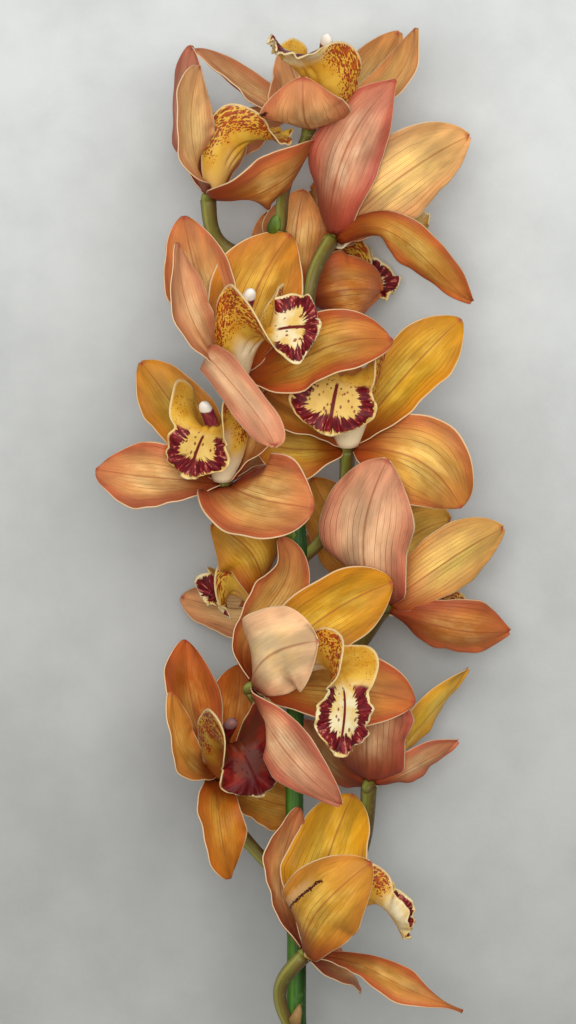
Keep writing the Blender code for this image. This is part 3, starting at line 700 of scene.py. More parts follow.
def add_rod(
    shape, run, radii, sides, kind=STEM_KIND, flat=0, flat_way=(0, 0, 1), ribs=0, rib_share=0, paint=0
):
    """Adds a round rod along a run. Its cross-section may be flatter on one side or ribbed."""
    ways = tangents(run)
    turns = np.linspace(0, math.tau, sides, endpoint=False)
    up = across_to(np.tile(flat_way, (len(run), 1)), ways)
    side = np.cross(up, ways)
    swell = 1 + rib_share * np.cos(ribs * turns)
    squeeze = 1 - flat * ease(0.2, 1, np.sin(turns))
    reach = radii[:, None] * swell
    points = run[:, None] + side[:, None] * (reach * np.cos(turns))[..., None]
    points = points + up[:, None] * (reach * np.sin(turns) * squeeze)[..., None]
    steps = np.linalg.norm(np.diff(run, axis=0), axis=1)
    lengths = np.concatenate(((0,), np.cumsum(steps)))[:, None]
    radii = radii[:, None]
    share = spread(lengths / lengths[-1], np.sin(turns), 1)
    place = spread(np.cos(turns) * radii / MM, lengths / MM, np.sin(turns) * radii / MM)
    kind = np.tile(kind, (len(run) * sides, 1))
    faces = rod_faces(len(run), sides)
    shape.add(points.reshape(-1, 3), faces, share.reshape(-1, 3), kind, place.reshape(-1, 3), paint)


# Sepals, petals, lips and columns


def bloom_axes(bloom):
    """Middle, facing and lip side of a bloom in metres and unit directions."""
    middle = spot(*bloom["middle"])
    facing = unit(bloom["facing"])
    lip_side = across_to(bloom["lip_side"], facing)
    return middle, facing, lip_side


def tepal_half_widths(facts, shares):
    """Narrow at the foot, widest past the middle, rounded to a point at the tip."""
    foot, widest = facts["foot"], facts["widest"]
    grown = foot + (1 - foot) * np.sin(math.pi / 2 * np.minimum(shares / widest, 1))
    past = np.clip((shares - widest) / (1 - widest), 0, 1)
    shrunk = (1 - past**TIP_ROUNDNESS) ** (TIP_FULLNESS * facts["tail"])
    halves = np.where(shares < widest, grown, shrunk)
    return np.maximum(halves, TEPAL_TIP_LEAST) * facts["width"] * MM / 2


def tepal_relief(s, t, draw):
    """How far a tepal stands off its smooth arc: midrib, pleats, and waved and rolled margins."""
    rib = -RIB_DEPTH * np.exp(-((t / RIB_HALF_SHARE) ** 2)) * (1 - 0.7 * s)
    pleats = PLEAT_DEPTH * np.cos(t * math.pi * PLEAT_BEATS) * (1 - t**2) * np.sin(math.pi * s)
    margin = ease(0.35, 1, np.abs(t)) * np.sin(math.pi * s) ** 0.7
    phase = np.where(t < 0, draw.uniform(0, math.tau), draw.uniform(0, math.tau))
    beats = draw.uniform(*TEPAL_WAVE_BEATS)
    wave = TEPAL_WAVE * margin * np.sin(math.tau * beats * s + phase)
    ripple = TEPAL_RIPPLE * margin * np.sin(math.tau * beats * TEPAL_RIPPLES_PER_WAVE * s + phase * 2)
    reflex = -TEPAL_REFLEX * ease(0.55, 1, np.abs(t)) * ease(0.15, 0.5, s)
    sway = np.sin(math.tau * TEPAL_SWAY_BEATS * s + draw.uniform(0, math.tau)) * np.sin(math.pi * s)
    return rib + pleats + wave + ripple + reflex + TEPAL_SWAY * sway


def add_tepal(shape, bloom, facts, tone, number):
    """Adds one sepal or petal, cupped along its run, with a waved margin and a sunk midrib."""
    middle, facing, _ = bloom_axes(bloom)
    draw = np.random.default_rng(number)
    places = [spot(*place) for place in facts["run"]]
    foot = middle + unit(places[0] - middle) * TEPAL_FOOT_DEPTH
    shares = crowded(TEPAL_ROWS, TEPAL_ROW_CROWDING)
    run = smooth_run([foot, *places], shares)
    hints = unit(middle + facing * FOCUS_DISTANCE - run)
    if facts["face"]:
        blend = np.clip(shares / TEPAL_TURNED_BY, 0, 1)[:, None]
        hints = hints * (1 - blend) + unit(facts["face"]) * blend
    way = tangents(run)
    turned = math.radians(TEPAL_TWIST) * draw.uniform(-1, 1) * shares[:, None] ** 1.5
    hints = across_to(hints, way)
    hints = hints * np.cos(turned) + np.cross(way, hints) * np.sin(turned)
    halves = tepal_half_widths(facts, shares)
    halves[0] = min(halves[0], TEPAL_FOOT_DEPTH)
    swell = MARGIN_SWELL * np.sin(math.tau * MARGIN_BEATS * shares + draw.uniform(0, math.tau))
    halves = softened(halves, 2) * (1 + swell)
    curls = np.radians(np.full(len(shares), float(facts["cup"])))
    turns = turns_across(TEPAL_COLUMNS, TEPAL_COLUMN_CROWDING)
    points, normals = blade_grid(run, hints, halves, curls, turns, np.zeros_like(run))
    s = shares[:, None]
    t = turns[None, :]
    points = points + normals * tepal_relief(s, t, draw)[..., None]
    normals = surface_normals(points, normals)
    thinning = (1 - np.abs(t) ** 2.5) * (1 - s**6)
    thickness = TEPAL_RIM_THICKNESS + (TEPAL_THICKNESS - TEPAL_RIM_THICKNESS) * thinning
    kind = np.tile(tone, (*thickness.shape, 1))
    place = spread(halves[:, None] * t / MM, s * run_length(run) / MM, number * SEED_STEP)
    add_blade(shape, points, normals, thickness, spread(s, t), kind, place)


def add_receptacle(shape, bloom):
    """Adds the small green head of the stalk that the sepals and petals grow from."""
    middle, facing, _ = bloom_axes(bloom)
    turns = np.linspace(BALL_POLE, math.pi - BALL_POLE, BALL_RINGS)
    run = middle - facing * np.cos(turns)[:, None] * RECEPTACLE_RADIUS
    radii = np.sin(turns) * OVARY_RADIUS * BALL_NARROWNESS
    add_rod(shape, run, radii, STALK_SIDES, STALK_KIND, ribs=BALL_RIBS, rib_share=BALL_RIB_SHARE, paint=1)


def lip_table(shares):
    """Half width, half curl and forward reach along a lip, with rounded corners."""
    table = np.array(LIP_PROFILE)
    columns = [np.interp(shares, table[:, 0], table[:, i]) for i in (1, 2, 3)]
    halves, curls, reaches = (softened(column, 3) for column in columns)
    tip = np.clip((shares - LIP_TIP_FROM) / (LIP_TIP_END - LIP_TIP_FROM), 0, 1)
    rounded = LIP_TIP_HALF * np.sqrt(1 - tip**2)
    halves = np.where(shares > LIP_TIP_FROM, rounded, halves)
    return softened(halves, 1), curls, reaches


def lip_edges(s, t, halves, length):
    """Distance to the lip's edge in mm, the turn around the mid-lobe's centre, and where the mid-lobe is."""
    lobe = ease(0.58, 0.7, s)
    ahead = (s - MIDLOBE_CENTRE) * length / MM
    around = np.arctan2(t * halves[:, None] / MM, ahead)
    side_edge = (1 - np.abs(t)) * halves[:, None] / MM
    tip_edge = (1 - s) * length / MM * LIP_TIP_STRETCH
    nearness = np.exp(-side_edge / LIP_EDGE_BLEND) + np.exp(-tip_edge / LIP_EDGE_BLEND) * lobe
    return np.maximum(-np.log(nearness) * LIP_EDGE_BLEND, 0), around, lobe


def lip_relief(s, t, edge, around, lobe, draw):
    """How far a lip stands off its smooth arc: ruffled rim, waved side lobes, and two keels inside."""
    zone = (1 - ease(0.5, 6.5, edge)) * lobe
    beats = RUFFLE_LEAST_BEATS + draw.integers(0, 3)
    first = draw.uniform(0, math.tau)
    ruffle = np.sin(around * beats + first) + 0.5 * np.sin(around * beats * 2.3 + first * 2)
    rim = RUFFLE_HEIGHT * (ruffle + 0.8) * zone
    wall = (1 - ease(0, 5, edge)) * (1 - lobe) * ease(0.2, 0.35, s)
    wall_wave = WALL_WAVE * wall * np.sin(s * WALL_BEATS + first)
    keel = np.exp(-(((np.abs(t) - KEEL_ASIDE) / KEEL_HALF_SHARE) ** 2))
    keel = KEEL_HEIGHT * keel * ease(0.2, 0.3, s) * (1 - ease(0.56, 0.64, s))
    return rim + wall_wave + keel


def add_lip(shape, bloom, number):
    """Adds a lip: a trough with raised side lobes, then a ruffled mid-lobe that curls over."""
    middle, facing, lip_side = bloom_axes(bloom)
    facts = bloom["lip"]
    draw = np.random.default_rng(number + LIP_SEED)
    base = middle + facing * LIP_FOOT_FORWARD + lip_side * LIP_FOOT_ASIDE
    shares = crowded(LIP_ROWS, LIP_ROW_CROWDING)
    halves, curls, reaches = lip_table(shares)
    run = smooth_run([base, spot(*facts["throat"]), spot(*facts["tip"])], shares)
    turn = np.clip((shares - LIP_TURNS_FROM) / (LIP_TURNED_BY - LIP_TURNS_FROM), 0, 1)[:, None]
    hints = -lip_side * (1 - turn) + unit(facts["face"] or bloom["facing"]) * turn
    halves = halves * facts["width"] * MM
    turns = turns_across(LIP_COLUMNS, LIP_COLUMN_CROWDING)
    ahead = facing * facts["reach"] * (1 - turn) + tangents(run) * turn
    curls = np.radians(curls + facts["roll"] * turn[:, 0])
    points, normals = blade_grid(run, hints, halves, curls, turns, ahead * reaches[:, None] * MM)
    length = run_length(run)
    s = shares[:, None]
    t = turns[None, :]
    edge, around, lobe = lip_edges(s, t, halves, length)
    points = points + normals * lip_relief(s, t, edge, around, lobe, draw)[..., None]
    normals = surface_normals(points, normals)
    thickness = LIP_RIM_THICKNESS + (LIP_THICKNESS - LIP_RIM_THICKNESS) * ease(0, 5, edge)
    kind = spread(edge, around, lobe)
    place = spread(halves[:, None] * t / MM, s * length / MM, number * SEED_STEP)
    add_blade(shape, points, normals, thickness, spread(s, t), kind, place)


def add_column(shape, bloom):
    """Adds the arched column with the anther cap at its end."""
    middle, facing, lip_side = bloom_axes(bloom)
    base = middle + facing * COLUMN_FOOT_FORWARD - lip_side * COLUMN_FOOT_ASIDE
    cap = spot(*bloom["cap"])
    arch = (base + cap) / 2 - lip_side * COLUMN_ARCH
    shares = np.linspace(0, 1, COLUMN_RINGS)
    run = smooth_run([base, arch, cap], shares)
    table = np.array(COLUMN_PROFILE)
    radii = softened(np.interp(shares, table[:, 0], table[:, 1]), 1) * MM
    radii[-1] = COLUMN_END_RADIUS
    add_rod(shape, run, radii, COLUMN_SIDES, flat=COLUMN_FLATNESS, flat_way=lip_side)


# Stem, stalks and bracts


def add_stem(shape):
    """The rachis from its cut end to its tip, with every bloom's stalk and the bracts."""
    points = np.array([spot(*place) for place in STEM_RUN])
    places = np.linspace(0, 1, len(points))
    shares = np.linspace(0, 1, STEM_RINGS)
    run = np.array([softened(np.interp(shares, places, axis), STEM_SOFTENING) for axis in points.T]).T
    radii = STEM_RADIUS_CUT + (STEM_RADIUS_TOP - STEM_RADIUS_CUT) * shares**STEM_TAPER
    run[:, 2] = np.maximum(run[:, 2], radii + FLOOR_GAP)
    for bloom in BLOOMS.values():
        gap = np.linalg.norm(run - spot(*bloom["stalk"][0]), axis=1)
        radii = radii + NODE_SWELLING * np.exp(-((gap / NODE_REACH) ** 2))
    add_rod(shape, run, radii, STEM_SIDES)
    for bloom in BLOOMS.values():
        add_stalk(shape, bloom)
    for facts in BRACTS:
        add_bract(shape, facts)


def add_stalk(shape, bloom):
    """Adds the ribbed stalk of one bloom, which ends inside its receptacle."""
    middle = spot(*bloom["middle"])
    knots = [spot(*place) for place in bloom["stalk"]]
    knots.append(middle - unit(middle - knots[-1]) * STALK_END_GAP)
    shares = np.linspace(0, 1, STALK_RINGS)
    radii = PEDICEL_RADIUS + (OVARY_RADIUS - PEDICEL_RADIUS) * shares**2
    run = smooth_run(knots, shares)
    add_rod(shape, run, radii, STALK_SIDES, STALK_KIND, ribs=STALK_RIBS, rib_share=STALK_RIB_SHARE)


def add_bract(shape, facts):
    """Adds a small pointed leaf that hugs the stem at a node."""
    shares = np.linspace(0, 1, BRACT_ROWS)
    run = smooth_run([spot(*place) for place in facts["run"]], shares)
    hints = np.tile((0.0, 0.0, -1.0), (BRACT_ROWS, 1))
    halves = facts["width"] / 2 * MM * np.sqrt(1 - shares**2) + BRACT_LEAST_HALF
    curls = np.full(BRACT_ROWS, math.radians(BRACT_CURL))
    turns = np.linspace(-1, 1, BRACT_COLUMNS)
    points, normals = blade_grid(run, hints, halves, curls, turns, np.zeros_like(run))
    thickness = np.full(points.shape[:2], BRACT_THICKNESS)
    kind = np.tile((0.0, facts["dry"], BRACT_YELLOWNESS), (*thickness.shape, 1))
    place = (points - points[0, 0]) / MM
    add_blade(shape, points, normals, thickness, spread(shares[:, None], turns), kind, place)


# Materials


def hue(tone):
    """A colour, by its name or its three numbers, turned into linear light."""
    shares = np.array(HUES.get(tone, tone)) / 255
    linear = np.where(shares > 0.04045, ((shares + 0.055) / 1.055) ** 2.4, shares / 12.92)
    return (*linear.tolist(), 1)


class Paint:
    """Builds one procedural material, node by node, and holds the colour laid on so far."""

    def __init__(self, name):
        self.made = bpy.data.materials.new(name)
        self.made.use_nodes = True
        self.nodes = self.made.node_tree.nodes
        self.links = self.made.node_tree.links
        self.nodes.clear()
        self.colour = None

    def node(self, kind):
        return self.nodes.new("ShaderNode" + kind)

    def join(self, value, socket):
        """Feeds a socket from another one, or with a number or a named colour."""
        if isinstance(value, bpy.types.NodeSocket):
            self.links.new(value, socket)
        else:
            socket.default_value = hue(value) if isinstance(value, str) else value

    def feed(self, made, *values):
        """Feeds a node's first inputs in order and gives its first output."""
        for value, socket in zip(values, made.inputs):
            self.join(value, socket)
        return made.outputs[0]

    def attribute(self, name):
        read = self.node("Attribute")
        read.attribute_name = name
        return read.outputs["Vector"]

    def split(self, vector):
        made = self.node("SeparateXYZ")
        self.feed(made, vector)
        return made.outputs

    def parts(self, name):
        """The three numbers of one attribute."""
        return self.split(self.attribute(name))

    def calc(self, way, *values):
        made = self.node("Math")
        made.operation = way
        return self.feed(made, *values)

    def times(self, first, *others):
        """All the values multiplied."""
        for value in others:
            first = self.calc("MULTIPLY", first, value)
        return first

    def band(self, value, low, high, bottom=0.0, top=1.0):
        """Rises smoothly from bottom to top as the value goes from low to high."""
        made = self.node("MapRange")
        made.interpolation_type = "SMOOTHSTEP"
        return self.feed(made, value, low, high, bottom, top)

    def blend(self, share, first, second, way="MIX"):
        made = self.node("Mix")
        made.data_type = "RGBA"
        made.blend_type = way
        for value, index in ((share, 0), (first, 6), (second, 7)):
            self.join(value, made.inputs[index])
        return made.outputs[2]

    def pair(self, share, name):
        """From the first to the second of a named pair of colours."""
        first, second = PAIRS[name]
        return self.blend(share, hue(first), hue(second))

    def tint(self, share, tone, way="MIX"):
        """Lays a tone over the colour so far."""
        self.colour = self.blend(share, self.colour, tone, way)

    def dim(self, factor):
        """Multiplies the colour so far by one number."""
        grey = self.feed(self.node("CombineColor"), factor, factor, factor)
        self.tint(1.0, grey, "MULTIPLY")

    def ramp(self, value, stops):
        """Colours along a value. Stops are (value, colour) pairs."""
        made = self.node("ValToRGB")
        elements = made.color_ramp.elements
        while len(elements) < len(stops):
            elements.new(0.5)
        for element, (at, tone) in zip(elements, stops):
            element.position = at
            element.color = hue(tone)
        return self.feed(made, value)

    def noise(self, vector, scale=1.0, detail=2.0, rough=0.5):
        """Smooth noise from 0 to 1."""
        made = self.node("TexNoise")
        for label, value in (("Vector", vector), ("Scale", scale), ("Detail", detail), ("Roughness", rough)):
            self.join(value, made.inputs[label])
        return made.outputs["Fac"]

    def scaled(self, *factors):
        """The place in mm with each of its numbers multiplied."""
        made = self.node("VectorMath")
        made.operation = "MULTIPLY"
        return self.feed(made, self.attribute("place"), factors)

    def grain(self, across, along, through=1.0, detail=3.0, rough=0.5):
        """Smooth noise with that many beats per millimetre each way."""
        return self.noise(self.scaled(across, along, through), 1.0, detail, rough)

    def dots(self, across, along, size, soft, through=1.0):
        """Round spots, 1 inside and 0 outside, with that many beats per millimetre each way."""
        made = self.node("TexVoronoi")
        self.join(self.scaled(across, along, through), made.inputs["Vector"])
        self.join(1.0, made.inputs["Scale"])
        return self.band(made.outputs["Distance"], self.calc("ADD", size, soft), size)

    def stripes(self, value, count, thin):
        """Narrow lines spread evenly over a value that runs from -1 to 1."""
        wave = self.calc("COSINE", self.times(value, math.pi * count))
        return self.band(wave, thin, 1.0)

    def skin(self, roughness, height, depth, glow, shine_through=None):
        """Joins the colour, a bumped gloss and some light shining through into the material's surface."""
        bump = self.node("Bump")
        self.join(1.0, bump.inputs["Strength"])
        self.join(depth, bump.inputs["Distance"])
        self.join(height, bump.inputs["Height"])
        shader = self.node("BsdfPrincipled")
        self.join(self.colour, shader.inputs["Base Color"])
        self.join(roughness, shader.inputs["Roughness"])
        self.join(bump.outputs[0], shader.inputs["Normal"])
        self.join(SPECULAR, shader.inputs["Specular IOR Level"])
        through = self.node("BsdfTranslucent")
        self.join(shine_through or self.colour, through.inputs["Color"])
        both = self.feed(self.node("MixShader"), glow, shader.outputs[0], through.outputs[0])
        self.join(both, self.node("OutputMaterial").inputs["Surface"])
        return self.made


def add_scar(p, scar):
    """Lays a jagged dark tear with a dry edge over one tepal, and gives its depth."""
    aside, along, seed = p.parts("place")
    start, end = scar["start"], scar["end"]
    turn = math.atan2(end[1] - start[1], end[0] - start[0])
    length = math.dist(start, end)
    aside = p.calc("SUBTRACT", aside, start[0])
    along = p.calc("SUBTRACT", along, start[1])
    run = p.calc("MULTIPLY_ADD", along, math.sin(turn), p.times(aside, math.cos(turn)))
    off = p.calc("MULTIPLY_ADD", along, math.cos(turn), p.times(aside, -math.sin(turn)))
    jags = p.calc("SUBTRACT", p.grain(0.5, 0.5, rough=0.7), 0.5)
    off = p.calc("MULTIPLY_ADD", jags, SCAR_JAGS, off)
    here = p.calc("COMPARE", seed, scar["tepal"] * SEED_STEP, 0.5)
    dry = p.times(p.band(off, 0.0, 0.5), p.band(off, scar["dry"], scar["dry"] * 0.5))
    faded = p.times(p.band(run, -0.1 * length, 0.3 * length), p.band(run, length, 0.6 * length))
    p.tint(p.times(dry, faded, here, 0.8), "scar_dry")
    torn = p.times(p.band(run, 0.0, 0.8), p.band(run, length, length - 0.8), here)
    dark = p.times(p.band(p.calc("ABSOLUTE", off), scar["half"], scar["half"] * 0.4), torn)
    p.tint(dark, "scar_dark")
    return dark


def lay_tepal_ground(p, along, gold, depth_and_shade):
    """Peach or golden, darker at the foot; browner all over with a positive depth, partly its own tone and
    partly painted shade for a tepal in shadow, and paler with a negative one.
    """
    rise = p.band(along, 0.0, 0.55)
    p.colour = p.blend(gold, p.pair(rise, "peach"), p.pair(rise, "gold"))
    # partly the tepal's own tone, partly painted shade: browner where the depth is positive
    p.tint(depth_and_shade, p.pair(p.band(along, 0.1, 0.6), "bronze_and_shade"))
    p.tint(p.band(depth_and_shade, 0.0, -0.6), "pale_tepal")


def lighten_tepal(p, along, aside, gold, depth_and_shade, cloud):
    """Painted highlights: lighter clouds away from the margin, the foot and the tip."""
    lit = p.times(p.band(aside, 0.75, 0.15), p.band(cloud, 0.35, 0.65))
    lit = p.times(lit, p.band(along, 0.12, 0.4), p.band(along, 0.98, 0.7))
    p.tint(p.times(lit, p.band(depth_and_shade, 1.0, -0.2, 0.25, 0.75)), p.pair(gold, "glint"))


def blush_tepal(p, along, aside, gold, blush, blotch, streak):
    """A rosy margin and tip, and painted red-brown shade at the foot."""
    margin = p.band(p.calc("MULTIPLY_ADD", blotch, 0.5, aside), 0.6, 1.15)
    rosy = p.calc("MAXIMUM", margin, p.times(p.band(along, 0.5, 1.0), 0.8))
    p.tint(p.times(rosy, blush), p.pair(gold, "rust"))
    # painted shade: the foot darkened red-brown where the tepals meet
    painted_foot_shade = p.times(p.band(along, 0.42, 0.0), p.band(streak, 0.3, 0.6, 0.8, 1.0))
    p.tint(painted_foot_shade, p.pair(gold, "painted_foot_shade"))


def tepal_veins(p, along, across, depth_and_shade, cloud):
    """Main veins that come and go, with finer ones between them."""
    warp = p.times(p.calc("SUBTRACT", p.grain(0.1, 0.05), 0.5), 0.1)
    lined = p.calc("ADD", across, warp)
    strength = p.band(p.grain(0.45, 0.01, detail=1), 0.35, 0.65, 0.25, 0.62)
    main_veins = p.times(p.stripes(lined, MAIN_VEINS, 0.8), strength)
    fine_veins = p.times(p.stripes(lined, FINE_VEINS, 0.5), 0.2)
    veins = p.times(p.calc("MAXIMUM", main_veins, fine_veins), p.band(cloud, 0.3, 0.55, 0.45, 1.0))
    return p.times(veins, p.band(along, 1.0, 0.5, 0.4, 1.0), p.band(depth_and_shade, -0.6, -0.2, 0.3, 1.0))


def tepal_skin():
    """Peach or golden, with fine red-brown veins, a blushed margin and a pale rim, painted highlights, and
    painted shade at the foot and on tepals in shadow.
    """
    p = Paint("tepal_skin")
    along, across, _ = p.parts("share")
    gold, blush, depth_and_shade = p.parts("kind")
    aside = p.calc("ABSOLUTE", across)
    blotch = p.grain(0.11, 0.06, detail=4)
    cloud = p.grain(0.22, 0.09)
    streak = p.grain(1.5, 0.05, detail=4)
    shade = p.grain(0.13, 0.035)
    cells = p.grain(3.2, 2.2, detail=2)
    lay_tepal_ground(p, along, gold, depth_and_shade)
    lighten_tepal(p, along, aside, gold, depth_and_shade, cloud)
    blush_tepal(p, along, aside, gold, blush, blotch, streak)
    veins = tepal_veins(p, along, across, depth_and_shade, cloud)
    p.tint(veins, "vein")
    p.tint(p.times(p.band(aside, 0.05, 0.0), 0.6), "midrib")
    p.dim(p.band(streak, 0.25, 0.75, 0.94, 1.06))
    p.dim(p.band(shade, 0.32, 0.68, 0.74, 1.16))
    p.dim(p.band(depth_and_shade, 0.0, -0.6, 1.0, 1.13))
    p.dim(p.band(cloud, 0.3, 0.7, 0.9, 1.06))
    p.dim(p.band(cells, 0.3, 0.7, 0.95, 1.04))
    p.tint(p.band(aside, 0.96, 0.985, 0.0, 0.85), "tepal_rim")
    p.tint(p.times(p.band(along, 0.965, 0.99), p.band(aside, 0.9, 0.3), 0.7), "tepal_point")
    relief = p.calc("ADD", p.times(veins, -0.8), p.times(streak, 0.4))
    relief = p.calc("ADD", relief, p.times(cells, 0.35))
    for scar in SCARS:
        relief = p.calc("MULTIPLY_ADD", add_scar(p, scar), -2.0, relief)
    warm = p.blend(1.0, p.colour, "light_through", "MULTIPLY")
    return p.skin(p.band(blotch, 0.3, 0.7, 0.42, 0.55), relief, TEPAL_BUMP, TEPAL_GLOW, warm)


def lip_marks(p):
    """Coordinates and grains that all the marks of a lip are drawn from."""
    along, across, inner = p.parts("share")
    edge, around, lobe = p.parts("kind")
    seed = p.parts("place")[2]
    spin = p.feed(p.node("CombineXYZ"), p.times(around, RAY_BEATS), p.times(edge, 0.2), seed)
    return SimpleNamespace(
        along=along,
        aside=p.calc("ABSOLUTE", across),
        inner=inner,
        edge=edge,
        lobe=lobe,
        rays=p.noise(spin, detail=3.0),
        blotch=p.grain(0.16, 0.16, detail=4),
        fleck=p.grain(0.9, 0.9),
    )


def lay_lip_ground(p, at, claw, middle, banded):
    """Yellow side lobes, a claw that may be pale, and a light mid-lobe."""
    mottled = p.band(at.blotch, 0.35, 0.65)
    pale = p.times(p.band(at.aside, 0.5, 0.15), p.band(at.along, 0.46, 0.3))
    pale = p.calc("MAXIMUM", pale, p.band(at.along, 0.2, 0.08))
    throat = p.blend(pale, p.pair(mottled, "lip"), hue(claw))
    light = p.blend(mottled, hue(middle), "custard")
    p.colour = p.blend(p.times(at.lobe, banded), throat, light)


def lay_freckles(p, at, inside, banded):
    """Large and small red-brown spots, thickest towards the edges of the side lobes."""
    wall = p.calc("SUBTRACT", 1.0, p.times(at.lobe, banded))
    where = p.times(p.band(p.calc("MULTIPLY_ADD", at.blotch, 0.7, at.aside), 0.65, 1.1), wall)
    where = p.times(where, p.band(at.along, 0.14, 0.26), p.band(at.inner, 0.4, 0.6, 1.0, inside))
    large = p.dots(1.2, 0.8, p.times(p.band(at.fleck, 0.25, 0.7, 0.2, 0.6), where), 0.12)
    small = p.dots(2.1, 1.5, p.times(where, 0.4), 0.12)
    freckles = p.times(p.calc("MAXIMUM", large, small), p.band(where, 0.05, 0.3), 0.92)
    p.tint(freckles, p.pair(p.band(at.fleck, 0.4, 0.65), "freckle"))


def lay_band(p, at, banded):
    """A ragged and cracked maroon band round the mid-lobe, and a dark line along its middle."""
    ragged = p.calc("MULTIPLY_ADD", p.calc("SUBTRACT", at.rays, 0.5), BAND_JAGS, at.edge)
    band = p.times(p.band(ragged, 0.5, 1.1), p.band(ragged, 6.6, 5.8), p.band(at.edge, 0.7, 1.2))
    band = p.times(band, p.band(at.lobe, 0.35, 0.8, 0.0, banded), p.band(at.inner, 0.4, 0.6, 0.12, 1.0))
    maroon = p.pair(p.band(at.rays, 0.42, 0.6), "maroon")
    crack = p.times(p.band(at.rays, 0.57, 0.6), p.band(at.fleck, 0.42, 0.55), 0.75)
    p.tint(band, p.blend(crack, maroon, "maroon_crack"))
    line = p.times(p.band(at.aside, 0.06, 0.03), p.band(at.along, 0.66, 0.7))
    p.tint(p.times(line, at.inner, p.band(ragged, 3.0, 6.0)), "lip_line")


def lip_skin(look, claw, middle="cream", inside=0.3, banded=1.0, shading=0.0):
    """Yellow spotted side lobes, a claw, and a mid-lobe with a maroon band inside its cream rim.

    The claw is the colour next to the foot, and the middle is the one inside the band. Inside says how
    dense the spots are on the inner faces of the side lobes. A lip that isn't banded has spots instead
    of the band, and one with painted shade is deep red all over its inner face."""
    p = Paint(look + "_skin")
    at = lip_marks(p)
    lay_lip_ground(p, at, claw, middle, banded)
    lay_freckles(p, at, inside, banded)
    lay_band(p, at, banded)
    p.tint(p.times(p.dots(0.55, 0.4, 0.2, 0.1), at.lobe, at.inner, 0.8), "lip_dot")
    # painted shade: the inner face darkened to deep red
    lip_shade = p.times(p.band(at.inner, 0.4, 0.6, 0.35, 0.96), shading)
    p.tint(lip_shade, p.pair(p.band(at.blotch, 0.45, 0.7), "shaded_lip"))
    p.tint(p.band(at.edge, 0.9, 0.2, 0.0, 0.8), "lip_rim")
    relief = p.times(p.calc("ADD", at.fleck, at.rays), 0.6)
    return p.skin(p.band(at.blotch, 0.3, 0.7, 0.48, 0.6), relief, LIP_BUMP, LIP_GLOW)


def column_skin(look, shading=0.0):
    """Yellow column, purple under its white anther cap. One with painted shade is dark red."""
    p = Paint(look + "_skin")
    along = p.parts("share")[0]
    blotch = p.grain(0.3, 0.3, detail=4)
    p.colour = p.ramp(along, COLUMN_TONES)
    p.tint(p.times(p.dots(0.9, 0.6, 0.25, 0.1), p.band(along, 0.75, 0.5), 0.6), "column_fleck")
    p.tint(p.band(blotch, 0.45, 0.8, 0.0, 0.3), "column_tan")
    # painted shade: the column darkened to dark red
    p.tint(0.88 * shading, p.pair(p.band(blotch, 0.4, 0.6), "shaded_column"))
    return p.skin(0.38, blotch, COLUMN_BUMP, COLUMN_GLOW)


def stem_green():
    """Green stem, yellower and browner along the bloom stalks, with fine lengthwise lines. Each rod has a
    painted highlight along one side and painted shade along the other; on the stalks the dark side is partly
    brown colour.
    """
    p = Paint("stem_green")
    aside = p.parts("place")[0]
    _, husk, stalk = p.parts("kind")
    blotch = p.grain(0.12, 0.04, 0.12, detail=5)
    lines = p.grain(1.6, 0.05, 1.6)
    p.colour = p.pair(p.band(blotch, 0.35, 0.65), "stem")
    p.tint(p.times(stalk, 0.75), p.pair(p.band(blotch, 0.3, 0.6), "stalk"))
    # partly brown colour, partly painted shade: the stalks darker along one side, with blotchy edges
    tan_and_shade = p.band(p.calc("MULTIPLY_ADD", blotch, 2.4, aside), 1.9, -0.8)
    p.tint(p.times(tan_and_shade, 0.85, stalk), "stalk_tan_and_shade")
    # painted shade along one side of the stem
    shaded = p.times(p.band(aside, 0.0, -2.6, 0.0, 0.8), p.calc("SUBTRACT", 1.0, stalk))
    p.tint(shaded, "stem_shaded")
    # painted highlight along the other side of the stem and stalks
    lit = p.times(p.band(aside, 0.4, 1.6), p.band(aside, 2.9, 1.9, 0.0, 0.5))
    p.tint(lit, p.pair(stalk, "sheen"))
    p.tint(husk, "husk")
    p.tint(p.band(lines, 0.45, 0.7, 0.0, 0.35), "stem_line")
    p.tint(p.times(p.dots(0.5, 0.25, 0.16, 0.12, through=0.5), 0.12), "stem_fleck")
    return p.skin(p.band(lines, 0.3, 0.7, 0.38, 0.5), lines, STEM_BUMP, STEM_GLOW)


def floor_paint():
    """Pale paper with faint cloudy mottling, and painted light falloff: a little lighter beyond the tip of
    the stem and to the right.
    """
    p = Paint("floor_paint")
    place = p.node("TexCoord").outputs["Object"]
    across, upward, _ = p.split(place)
    # painted light falloff: darker towards the bottom and the left
    slant = p.calc("MULTIPLY_ADD", across, 0.2, upward)
    p.colour = p.pair(p.band(slant, -0.14, 0.32), "floor")
    clouds = p.noise(place, FLOOR_CLOUDS, detail=7.0, rough=0.6)
    p.dim(p.band(clouds, 0.3, 0.7, 0.88, 1.06))
    return p.skin(0.7, p.noise(place, FLOOR_FIBRES), FLOOR_BUMP, 0.0)


def make_paints():
    paints = dict(stem=stem_green(), tepal=tepal_skin())
    paints["column"] = column_skin("column")
    paints["shaded_column"] = column_skin("shaded_column", shading=1.0)
    for look, facts in LIP_LOOKS.items():
        paints[look] = lip_skin(look, **facts)
    return paints


# Blooms, camera and stage


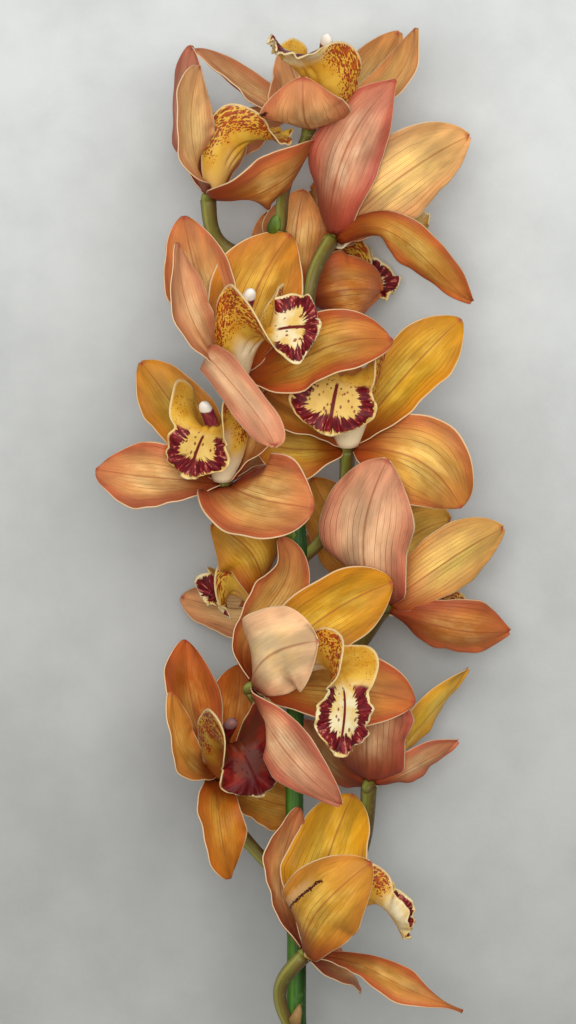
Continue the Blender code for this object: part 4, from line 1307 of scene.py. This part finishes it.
def make_bloom(number, name, bloom, paints):
    """The three pieces of one bloom. A lip with painted shade goes with a column with painted shade."""
    look = BLOOM_LIPS.get(name, "lip")
    column_look = "shaded_column" if look == "shaded_lip" else "column"
    tepals = Shape()
    add_receptacle(tepals, bloom)
    for index, (role, tone) in enumerate(zip(TEPAL_ROLES, TONES[name])):
        add_tepal(tepals, bloom, bloom[role], tone, number * TEPAL_NUMBERS + index)
    tepals.piece(name + "_tepals", "tepal", paints["tepal"], paints["stem"])
    lip_shape = Shape()
    add_lip(lip_shape, bloom, number)
    lip_shape.piece(name + "_lip", "lip", paints[look])
    column = Shape()
    add_column(column, bloom)
    column.piece(name + "_column", "column", paints[column_look])


def set_camera():
    """Looks straight down on the stem from high above, its tip at the top of the picture."""
    lens = bpy.data.cameras.new("camera")
    lens.sensor_fit = "VERTICAL"
    lens.sensor_height = SENSOR_HEIGHT
    lens.lens = SENSOR_HEIGHT * EYE_HEIGHT / (VIEW_HEIGHT * VIEW_UNIT)
    eye = put("camera", lens)
    eye.location = (*VIEW_MIDDLE_PLACE, STEM_REST_HEIGHT + EYE_HEIGHT)
    bpy.context.scene.camera = eye


def add_light(name, place, size, power):
    """A square soft light that looks at the middle of the stem."""
    lamp = bpy.data.lights.new(name, "AREA")
    lamp.size = size
    lamp.energy = power
    made = put(name, lamp)
    made.location = place
    look = Vector((*VIEW_MIDDLE_PLACE, STEM_REST_HEIGHT)) - Vector(place)
    made.rotation_euler = look.to_track_quat("-Z", "Y").to_euler()


def set_stage():
    """A pale floor, a broad key light beyond the tip, a smaller one above and an even sky."""
    mesh = bpy.data.meshes.new("floor")
    half = FLOOR_SIZE / 2
    corners = [(-half, -half, 0), (half, -half, 0), (half, half, 0), (-half, half, 0)]
    mesh.from_pydata(corners, [], [(0, 1, 2, 3)])
    mesh.materials.append(floor_paint())
    put("floor", mesh)
    for name, facts in LIGHTS.items():
        add_light(name, **facts)
    sky = bpy.data.worlds.new("sky")
    sky.use_nodes = True
    backdrop = sky.node_tree.nodes["Background"]
    backdrop.inputs["Color"].default_value = (1, 1, 1, 1)
    backdrop.inputs["Strength"].default_value = SKY_STRENGTH
    bpy.context.scene.world = sky
    bpy.context.scene.view_settings.view_transform = "Standard"


def main():
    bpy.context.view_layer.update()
    set_camera()
    set_stage()
    paints = make_paints()
    stem = Shape()
    add_stem(stem)
    stem.piece("stem", "stem", paints["stem"])
    for number, (name, bloom) in enumerate(BLOOMS.items(), 1):
        make_bloom(number, name, bloom, paints)


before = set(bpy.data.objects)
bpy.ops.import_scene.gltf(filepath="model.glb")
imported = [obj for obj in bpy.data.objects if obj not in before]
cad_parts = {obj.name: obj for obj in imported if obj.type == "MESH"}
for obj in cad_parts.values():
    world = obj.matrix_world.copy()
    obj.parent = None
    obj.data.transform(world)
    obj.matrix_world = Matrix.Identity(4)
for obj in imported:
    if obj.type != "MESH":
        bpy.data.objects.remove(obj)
main()
